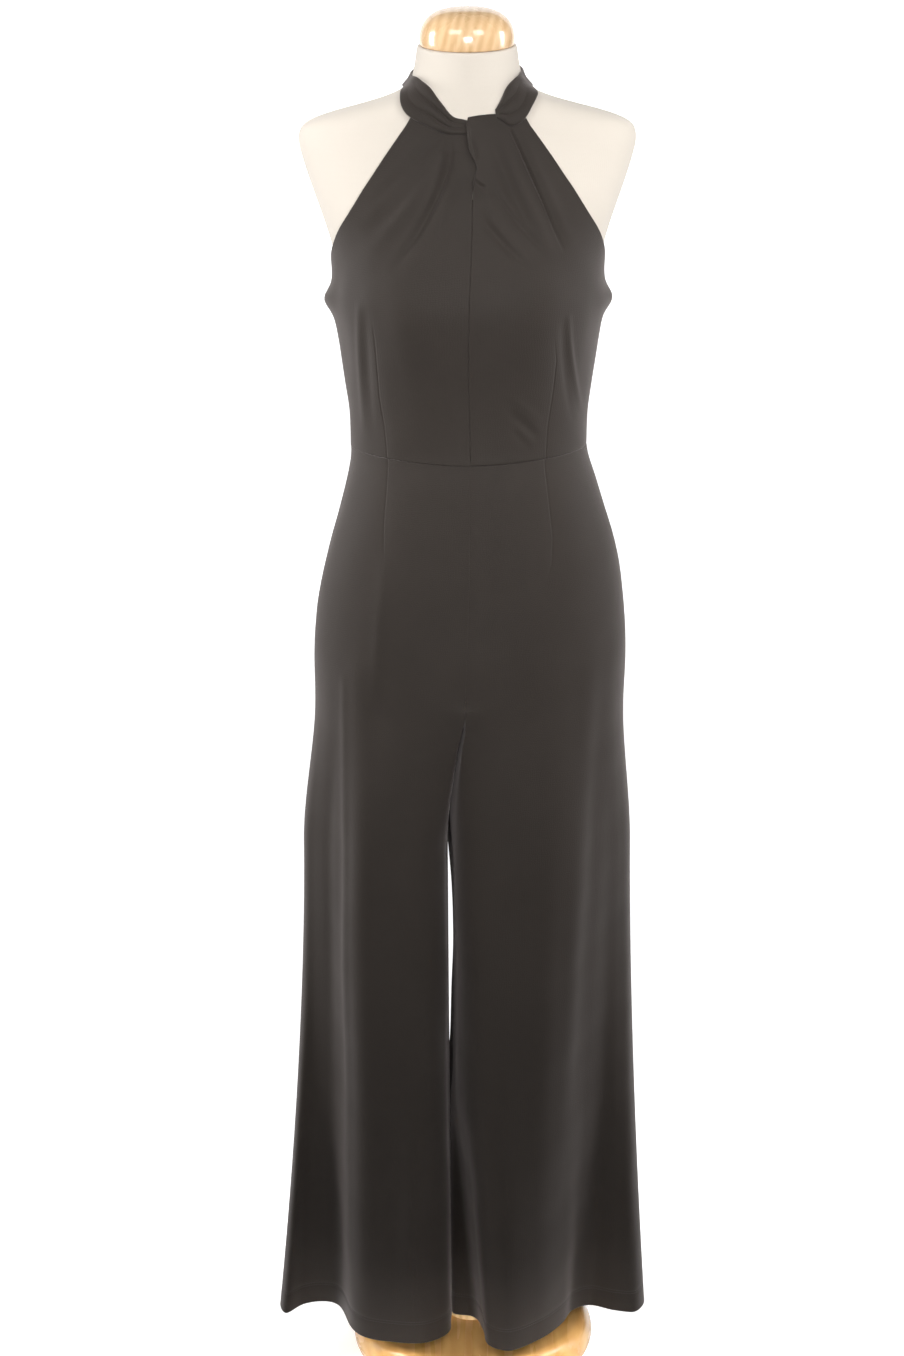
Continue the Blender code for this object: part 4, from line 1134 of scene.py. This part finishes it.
def finished(piece, node, finish, angle=40):
    """Sets a piece's place in its mesh, smooths it and puts it in its solid's place."""
    only(piece)
    bpy.ops.object.transform_apply(location=True, rotation=True, scale=True)
    bpy.ops.object.shade_smooth_by_angle(angle=math.radians(angle))
    piece.data.materials.clear()
    piece.data.materials.append(finish)
    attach(piece, BODY)
    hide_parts(node)


def turned_piece(name, profile, sides):
    """A piece turned as on a lathe: a disc drawn up through rows of (radius, height)."""
    radius, height = profile[0]
    piece = added(
        name, bpy.ops.mesh.primitive_circle_add,
        vertices=sides, radius=radius * MM, fill_type="NGON", location=(0, 0, height * MM),
    )
    bpy.ops.object.transform_apply(location=True, rotation=True, scale=True)
    bpy.ops.object.mode_set(mode="EDIT")
    bpy.ops.mesh.select_all(action="SELECT")
    for next_radius, next_height in profile[1:]:
        rise = (0, 0, (next_height - height) * MM)
        bpy.ops.mesh.extrude_region_move(TRANSFORM_OT_translate={"value": rise})
        bpy.ops.transform.resize(
            value=(next_radius / radius, next_radius / radius, 1),
            center_override=(0, 0, next_height * MM),
        )
        radius, height = next_radius, next_height
    bpy.ops.mesh.select_all(action="SELECT")
    bpy.ops.mesh.normals_make_consistent(inside=False)
    bpy.ops.object.mode_set(mode="OBJECT")
    return piece


def quarter(radius, rise, centre_radius, centre_height, start, end, count, fullness=2.0):
    """Rows of a rounded profile, by angle above the horizontal."""
    angle = np.radians(np.linspace(start, end, count + 1))
    across, up = [np.sign(v) * abs(v) ** (2 / fullness) for v in (np.cos(angle), np.sin(angle))]
    return list(zip(centre_radius + radius * across, centre_height + rise * up))


def build_torso():
    """The covered torso: the CAD's rings, merged, squared up and rounded off."""
    torso = bpy.data.objects.new("form_torso_covered", frame["nodes"]["form_torso"].data.copy())
    bpy.context.scene.collection.objects.link(torso)
    only(torso)
    bpy.ops.object.mode_set(mode="EDIT")
    bpy.ops.mesh.select_all(action="SELECT")
    bpy.ops.mesh.remove_doubles(threshold=0.02 * MM)
    bpy.ops.mesh.tris_convert_to_quads(face_threshold=1.2, shape_threshold=1.2)
    for way in (-1, 1):

        def at_end(face, way=way):
            height = face.calc_center_median().z
            return face.normal.z * way > 0.93 and (height > 1.43 or height < 0.80)

        select_only(torso, at_end)
        bpy.ops.mesh.dissolve_faces()
        bpy.ops.mesh.inset(thickness=2.2 * MM)
        bpy.ops.mesh.inset(thickness=12 * MM)
    bpy.ops.object.mode_set(mode="OBJECT")
    rounding = torso.modifiers.new("Rounding", "SUBSURF")
    rounding.levels = rounding.render_levels = 2
    bpy.ops.object.modifier_apply(modifier="Rounding")
    finished(torso, "form_torso", jersey, angle=50)


def build_cap():
    """The turned cap, on the neck's slanting top."""
    profile = [(47.6, 0.0), (48.4, 0.5), *quarter(48.9, 35.8, 0, 1.2, 0, 89, 22, fullness=2.7)]
    cap = turned_piece("neck_cap_turned", profile, 96)
    bpy.ops.object.mode_set(mode="EDIT")
    select_only(cap, disc(1))
    bpy.ops.mesh.poke()
    select_only(cap, disc(-1))
    bpy.ops.mesh.inset(thickness=3 * MM)
    bpy.ops.object.mode_set(mode="OBJECT")
    cap.rotation_euler.x = NECK_TILT
    cap.location.z = (NECK_TOP + SEAM_GAP) * MM
    finished(cap, "neck_cap", cap_wood)


def build_base():
    """The round base with a full edge, eased under its foot."""
    profile = [(124.0, 0.0), (126.4, 0.4)]
    profile += quarter(10, 18.2, 127, 18.8, -86, 0, 8)
    profile += quarter(16, 21.2, 121, 18.8, 8, 90, 10)
    base = turned_piece("stand_base_turned", profile, 128)
    bpy.ops.object.mode_set(mode="EDIT")
    select_only(base, lambda face: disc(1)(face) or disc(-1)(face))
    for width in (2, 30, 40):
        bpy.ops.mesh.inset(thickness=width * MM)
    bpy.ops.object.mode_set(mode="OBJECT")
    finished(base, "stand_base", base_wood)


def build_pole():
    """The pole, with a round flange at its foot."""
    foot, top = 40.3, 789.7
    profile = [(29.6, foot), (30.0, foot + 0.4), (30.0, foot + 4.2)]
    profile += quarter(1.8, 1.8, 28.2, foot + 4.2, 20, 90, 4)
    profile += [(14.6, foot + 6.0), (13.2, foot + 6.3), (12.5, foot + 7.4)]
    profile += [(12.5, top - 0.5), (12.1, top)]
    pole = turned_piece("stand_pole_turned", profile, 64)
    finished(pole, "stand_pole", pole_wood)


def build_button():
    """The nape button: a turned rim, a dished face and four holes."""
    corners = np.array([v.co for v in frame["nodes"]["nape_button"].data.vertices]) / MM
    middle = corners.mean(axis=0)
    thin = np.linalg.svd(corners - middle, full_matrices=False)[2][2]
    out = thin if thin[1] > 0 else -thin
    button = added(
        "nape_button_turned", bpy.ops.mesh.primitive_cylinder_add,
        vertices=48, radius=5.7 * MM, depth=2.2 * MM,
    )
    bpy.ops.object.mode_set(mode="EDIT")
    select_only(button, lambda face: face.normal.z > 0.99)
    bpy.ops.mesh.inset(thickness=1.3 * MM)
    bpy.ops.mesh.inset(thickness=0.5 * MM)
    bpy.ops.transform.translate(value=(0, 0, -0.6 * MM))
    bpy.ops.object.mode_set(mode="OBJECT")
    edge = button.modifiers.new("Edge", "BEVEL")
    edge.width, edge.segments, edge.limit_method = 0.35 * MM, 3, "ANGLE"
    bpy.ops.object.modifier_apply(modifier="Edge")
    for across, along in ((-1.1, -1.1), (1.1, -1.1), (-1.1, 1.1), (1.1, 1.1)):
        drill = added(
            "drill", bpy.ops.mesh.primitive_cylinder_add,
            vertices=16, radius=0.55 * MM, depth=5 * MM, location=(across * MM, along * MM, 0),
        )
        hole = button.modifiers.new("Hole", "BOOLEAN")
        hole.operation, hole.solver, hole.object = "DIFFERENCE", "EXACT", drill
        only(button)
        bpy.ops.object.modifier_apply(modifier="Hole")
        bpy.data.objects.remove(drill)
    button.rotation_euler = Vector(out).to_track_quat("Z", "Y").to_euler()
    button.location = (middle - out * 0.2) * MM
    finished(button, "nape_button", button_horn)


# ---------------------------------------------------------------- finishes


class Nodes:
    """A node tree that is written down from left to right."""

    def __init__(self, tree):
        self.tree = tree

    def feed(self, sockets, values):
        """Links each value to its socket, or sets it there if it is a constant."""
        for socket, value in zip(sockets, values):
            if isinstance(value, bpy.types.NodeSocket):
                self.tree.links.new(value, socket)
            else:
                socket.default_value = value

    def add(self, kind, settings=None, **inputs):
        node = self.tree.nodes.new(kind)
        for name, value in (settings or {}).items():
            setattr(node, name, value)
        self.feed([node.inputs[name.replace("_", " ")] for name in inputs], inputs.values())
        return node

    def math(self, operation, *values):
        node = self.add("ShaderNodeMath", {"operation": operation})
        self.feed(node.inputs, values)
        return node.outputs[0]

    def weighed(self, *parts, plus=0.0, clamp=False):
        """The sum of the values, each times its weight."""
        total = plus
        for value, weight in parts:
            total = self.math("MULTIPLY_ADD", value, weight, total)
        total.node.use_clamp = clamp
        return total

    def mix(self, share, first, second):
        node = self.add("ShaderNodeMix", {"data_type": "RGBA"})
        self.feed([node.inputs[n] for n in (0, 6, 7)], (share, first, second))
        return node.outputs[2]

    def between(self, value, given, wanted):
        """Eases value from one range to another."""
        node = self.add("ShaderNodeMapRange", {"interpolation_type": "SMOOTHSTEP"})
        self.feed(node.inputs, (value, *given, *wanted))
        return node.outputs[0]

    def noise(self, vector, scale, detail, roughness=0.5):
        node = self.add("ShaderNodeTexNoise", Vector=vector, Scale=scale, Detail=detail)
        node.inputs["Roughness"].default_value = roughness
        return node.outputs["Fac"]

    def bands(self, axis, **inputs):
        """Wavering bands across one axis."""
        settings = {"wave_type": "BANDS", "bands_direction": axis}
        return self.add("ShaderNodeTexWave", settings, **inputs).outputs["Fac"]

    def place(self):
        """The place on the piece that is being shaded."""
        return self.add("ShaderNodeTexCoord").outputs["Object"]

    def shared(self, group, **inputs):
        """The colour, roughness and height that a shared effect gives."""
        node = self.add("ShaderNodeGroup", {"node_tree": group}, **inputs)
        return [node.outputs[label] for label in ("Color", "Roughness", "Height")]


def effect(name, **inputs):
    """A shared effect: a node group with a Vector and the named inputs."""
    group = bpy.data.node_groups.new(name, "ShaderNodeTree")
    labels = {"Vector": None, **inputs}
    for label, value in labels.items():
        kind = "Vector" if value is None else "Color" if isinstance(value, tuple) else "Float"
        socket = group.interface.new_socket(
            label.replace("_", " "), in_out="INPUT", socket_type="NodeSocket" + kind
        )
        if value is not None:
            socket.default_value = value
    for label, kind in (("Color", "Color"), ("Roughness", "Float"), ("Height", "Float")):
        group.interface.new_socket(label, in_out="OUTPUT", socket_type="NodeSocket" + kind)
    n = Nodes(group)
    return n, n.add("NodeGroupInput").outputs, n.add("NodeGroupOutput").inputs


def make_crepe_grain():
    """The pebbled face of crepe: fine twisted yarns, uneven dye and a little lint."""
    n, given, result = effect(
        "Crepe grain",
        Yarns_per_metre=1400.0, Dark=(0.02, 0.02, 0.02, 1), Light=(0.04, 0.04, 0.04, 1),
    )
    vector, yarns = given["Vector"], given["Yarns per metre"]
    pebble = n.noise(vector, yarns, 2.0)
    scale = n.math("MULTIPLY", yarns, 0.11)
    warp, weft = [
        n.bands(axis, Vector=vector, Scale=scale, Distortion=6.0, Detail=1.0) for axis in "XY"
    ]
    woven = n.math("MULTIPLY", warp, weft)
    height = n.weighed((pebble, 0.6), (woven, 0.5))
    cloud = n.noise(vector, 9.0, 4.0, 0.6)
    dyed = n.mix(
        n.weighed((cloud, 0.75), (height, 0.35), clamp=True), given["Dark"], given["Light"]
    )
    speck = n.add("ShaderNodeTexVoronoi", Vector=vector, Scale=26.0, Randomness=1.0)
    red = n.add("ShaderNodeSeparateColor", Color=speck.outputs["Color"]).outputs[0]
    near = n.math("LESS_THAN", speck.outputs["Distance"], 0.012)
    lint = n.math("MULTIPLY", n.math("GREATER_THAN", red, 0.9), near)
    colour = n.mix(lint, dyed, (0.30, 0.29, 0.28, 1))
    n.feed(result, (colour, n.weighed((cloud, 0.12), plus=0.6), height))
    return n.tree


def make_wood_grain():
    """Long fibres and growth lines of a pale turned wood, under a gloss."""
    n, given, result = effect(
        "Wood grain",
        Line_scale=60.0, Wander=3.0, Pale=(0.8, 0.6, 0.3, 1), Warm=(0.6, 0.36, 0.14, 1),
    )
    lines = n.bands(
        "X", Vector=given["Vector"], Scale=given["Line scale"], Distortion=given["Wander"],
        Detail=3.0, Detail_Scale=1.2,
    )
    stretched = n.add("ShaderNodeMapping", Vector=given["Vector"], Scale=(1.0, 1.0, 0.06))
    fibre = n.noise(stretched.outputs[0], 420.0, 4.0)
    streak = n.noise(stretched.outputs[0], 60.0, 3.0)
    share = n.weighed((lines, 0.4), (streak, 0.6), (fibre, 0.35), plus=-0.175, clamp=True)
    colour = n.mix(share, given["Pale"], given["Warm"])
    n.feed(result, (colour, n.weighed((streak, 0.14), plus=0.2), fibre))
    return n.tree


def new_finish(name, **constants):
    """A material, with its nodes and its shader."""
    finish = bpy.data.materials.new(name)
    finish.use_nodes = True
    n = Nodes(finish.node_tree)
    shader = n.tree.nodes["Principled BSDF"].inputs
    n.feed([shader[label.replace("_", " ")] for label in constants], constants.values())
    return finish, n, shader


def dress(n, shader, looks, distance, strength):
    """Gives a shader its colour, its roughness and its small relief."""
    colour, roughness, height = looks
    bump = n.add("ShaderNodeBump", Height=height, Distance=distance, Strength=strength)
    sockets = [shader[label] for label in ("Base Color", "Roughness", "Normal")]
    n.feed(sockets, (colour, roughness, bump.outputs["Normal"]))


def make_crepe():
    finish, n, shader = new_finish(
        "Black crepe",
        Sheen_Weight=0.18, Sheen_Roughness=0.5, Sheen_Tint=(1.0, 0.90, 0.88, 1),
        Specular_IOR_Level=0.12,
    )
    looks = n.shared(
        crepe_grain,
        Vector=n.add("ShaderNodeUVMap", {"uv_map": "Cut"}).outputs["UV"],
        Dark=(0.0212, 0.0169, 0.0140, 1), Light=(0.0350, 0.0285, 0.0240, 1),
    )
    dress(n, shader, looks, 0.0003, 0.6)
    return finish


def make_jersey():
    """A fine knit: wales round the form and courses up it, under a soft fuzz."""
    finish, n, shader = new_finish("Cream jersey", Sheen_Weight=0.15, Specular_IOR_Level=0.25)
    place = n.place()
    x, y, z = n.add("ShaderNodeSeparateXYZ", Vector=place).outputs
    wales = n.math("SINE", n.math("MULTIPLY", n.math("ARCTAN2", x, y), 480.0))
    courses = n.math("SINE", n.math("MULTIPLY", z, 5200.0))
    knit = n.math("MULTIPLY", n.math("ADD", wales, 1.0), n.math("ADD", courses, 1.0))
    soft, fuzz = n.noise(place, 7.0, 3.0), n.noise(place, 900.0, 2.0)
    tone = n.weighed((soft, 0.7), (fuzz, 0.3))
    colour = n.mix(tone, (0.56, 0.508, 0.443, 1), (0.63, 0.575, 0.51, 1))
    height = n.weighed((knit, 0.25), (fuzz, 0.5))
    dress(n, shader, (colour, n.weighed((fuzz, 0.1), plus=0.82), height), 0.0002, 0.5)
    return finish


def make_wood(name, turn, scale, wander, pale, warm):
    """A turned wood. turn, in degrees, sets how the grain runs through the piece."""
    finish, n, shader = new_finish(
        name, Coat_Weight=0.7, Coat_Roughness=0.06, Specular_IOR_Level=0.5
    )
    turned = n.add("ShaderNodeMapping", Vector=n.place(), Rotation=np.radians(turn))
    looks = n.shared(
        wood_grain, Vector=turned.outputs[0],
        Line_scale=scale, Wander=wander, Pale=pale, Warm=warm,
    )
    dress(n, shader, looks, 0.0001, 0.25)
    return finish


def make_plain(name, low, high, size, roughness, **constants):
    """A dyed or moulded finish with slight unevenness."""
    finish, n, shader = new_finish(name, **constants)
    noise = n.noise(n.place(), size, 3.0)
    looks = (n.mix(noise, low, high), n.weighed((noise, 0.1), plus=roughness), noise)
    dress(n, shader, looks, 0.0001, 0.3)
    return finish


def make_studio_white():
    """A pale floor that brightens into a lit backdrop behind the object."""
    finish, n, shader = new_finish("Studio white", Roughness=0.8, Emission_Strength=1.0)
    place = n.place()
    colour = n.mix(n.noise(place, 3.0, 2.0), (0.84, 0.84, 0.84, 1), (0.88, 0.88, 0.88, 1))
    _, y, z = n.add("ShaderNodeSeparateXYZ", Vector=place).outputs
    behind = n.between(y, (-0.25, 0.3), (0.0, 0.8))
    higher = n.between(z, (0.0, 1.8), (1.0, 1.3))
    seen = n.math("MULTIPLY", n.add("ShaderNodeLightPath").outputs["Is Camera Ray"], 0.6)
    glow = n.math("MAXIMUM", n.math("MULTIPLY", behind, higher), seen)
    n.feed([shader["Base Color"], shader["Emission Color"]], (colour, glow))
    return finish


crepe_grain = make_crepe_grain()
wood_grain = make_wood_grain()
crepe = make_crepe()
jersey = make_jersey()
cap_wood = make_wood(
    "Cap wood", (0, -14, 0), 34.0, 2.0, (0.83, 0.60, 0.36, 1), (0.58, 0.35, 0.165, 1)
)
base_wood = make_wood(
    "Base wood", (90, 0, 38), 22.0, 4.0, (1.0, 0.60, 0.21, 1), (0.82, 0.40, 0.11, 1)
)
pole_wood = make_wood(
    "Pole wood", (0, 0, 20), 40.0, 2.0, (0.91, 0.66, 0.36, 1), (0.62, 0.38, 0.155, 1)
)
thread = make_plain(
    "Black thread", (0.02, 0.018, 0.018, 1), (0.05, 0.045, 0.044, 1), 900.0, 0.45
)
button_horn = make_plain(
    "Black horn", (0.012, 0.011, 0.011, 1), (0.03, 0.026, 0.024, 1), 260.0, 0.18, Coat_Weight=0.5
)
studio_white = make_studio_white()


# ---------------------------------------------------------------- the stage and its light


def build_stage():
    """A pale floor that curves up into a pale backdrop."""
    floor = added(
        "studio_floor", bpy.ops.mesh.primitive_plane_add, size=9, location=(0, 0, 0)
    )
    bpy.ops.object.mode_set(mode="EDIT")
    select_only(floor, lambda edge: all(v.co.y > 4 for v in edge.verts), edges=True)
    curve = [(math.sin(a), 1 - math.cos(a)) for a in np.radians(np.arange(15, 91, 15))]
    done = (0.0, 0.0)
    for along, up in [*curve, (1.0, 6.0)]:
        step = (0, along - done[0], up - done[1])
        bpy.ops.mesh.extrude_region_move(TRANSFORM_OT_translate={"value": step})
        done = (along, up)
    bpy.ops.object.mode_set(mode="OBJECT")
    bpy.ops.object.shade_smooth()
    floor.data.materials.append(studio_white)


# Soft light from high in front, strips on each side that catch the bodice and the hips, low
# ones for the legs, and a narrow one that only the base's edge catches. In metres.
#   name, place, aim, size, power, spread in degrees
SOFTBOXES = (
    ("key_softbox", (-0.9, -1.5, 2.5), (0, 0, 1.35), (0.9, 0.7), 3.5, 85),
    ("fill_softbox", (0.9, -1.6, 2.45), (0, 0, 1.35), (0.8, 0.8), 3.9, 85),
    ("front_softbox", (0.1, -2.3, 1.5), (0, 0, 1.08), (0.8, 0.7), 4.3, 50),
    ("strip_right", (-1.5, 0.1, 1.5), (0, 0, 1.0), (0.35, 1.0), 6.2, 90),
    ("strip_left", (1.5, 0.1, 1.5), (0, 0, 1.0), (0.35, 1.0), 4.0, 90),
    ("low_right", (-1.3, 0.25, 0.7), (0, 0, 0.7), (0.35, 1.2), 1.0, 120),
    ("low_left", (1.3, 0.25, 0.7), (0, 0, 0.7), (0.35, 1.2), 1.6, 120),
    ("base_softbox", (0.1, -1.4, 0.24), (0, -0.1, 0), (0.4, 0.05), 0.22, 14),
)
ROOM_LIGHT, ROOM_SEEN = 0.07, 0.9  # what lights the room, and what is seen past the stage


def build_light():
    world = bpy.data.worlds.new("Studio")
    world.use_nodes = True
    n = Nodes(world.node_tree)
    seen = n.add("ShaderNodeLightPath").outputs["Is Camera Ray"]
    strength = n.weighed((seen, ROOM_SEEN - ROOM_LIGHT), plus=ROOM_LIGHT)
    n.feed(n.tree.nodes["Background"].inputs, ((1, 1, 1, 1), strength))
    bpy.context.scene.world = world
    for name, place, aim, size, power, spread in SOFTBOXES:
        lamp = added(name, bpy.ops.object.light_add, type="AREA", location=place)
        lamp.data.shape = "RECTANGLE"
        lamp.data.size, lamp.data.size_y = size
        lamp.data.energy = power
        lamp.data.spread = math.radians(spread)
        away = Vector(aim) - Vector(place)
        lamp.rotation_euler = away.to_track_quat("-Z", "Y").to_euler()


def build_camera():
    data = bpy.data.cameras.new("Camera")
    camera = bpy.data.objects.new("Camera", data)
    bpy.context.scene.collection.objects.link(camera)
    data.sensor_fit = "VERTICAL"
    data.sensor_height = 24.0
    data.lens = 41.75
    camera.location = (-0.0194, -2.5, 1.35)
    downwards = Matrix.Rotation(math.radians(90 - 12.7), 4, "X")
    roll = Matrix.Rotation(math.radians(-0.357), 4, "Z")
    camera.rotation_euler = (downwards @ roll).to_euler()
    bpy.context.scene.camera = camera
    bpy.context.scene.view_settings.view_transform = "Standard"


build_stage()
build_light()
build_camera()
build_torso()
build_cap()
build_base()
build_pole()
build_button()
build_bodice()
build_neck_bands()
build_trousers()
build_tapes()
declare_sheets()
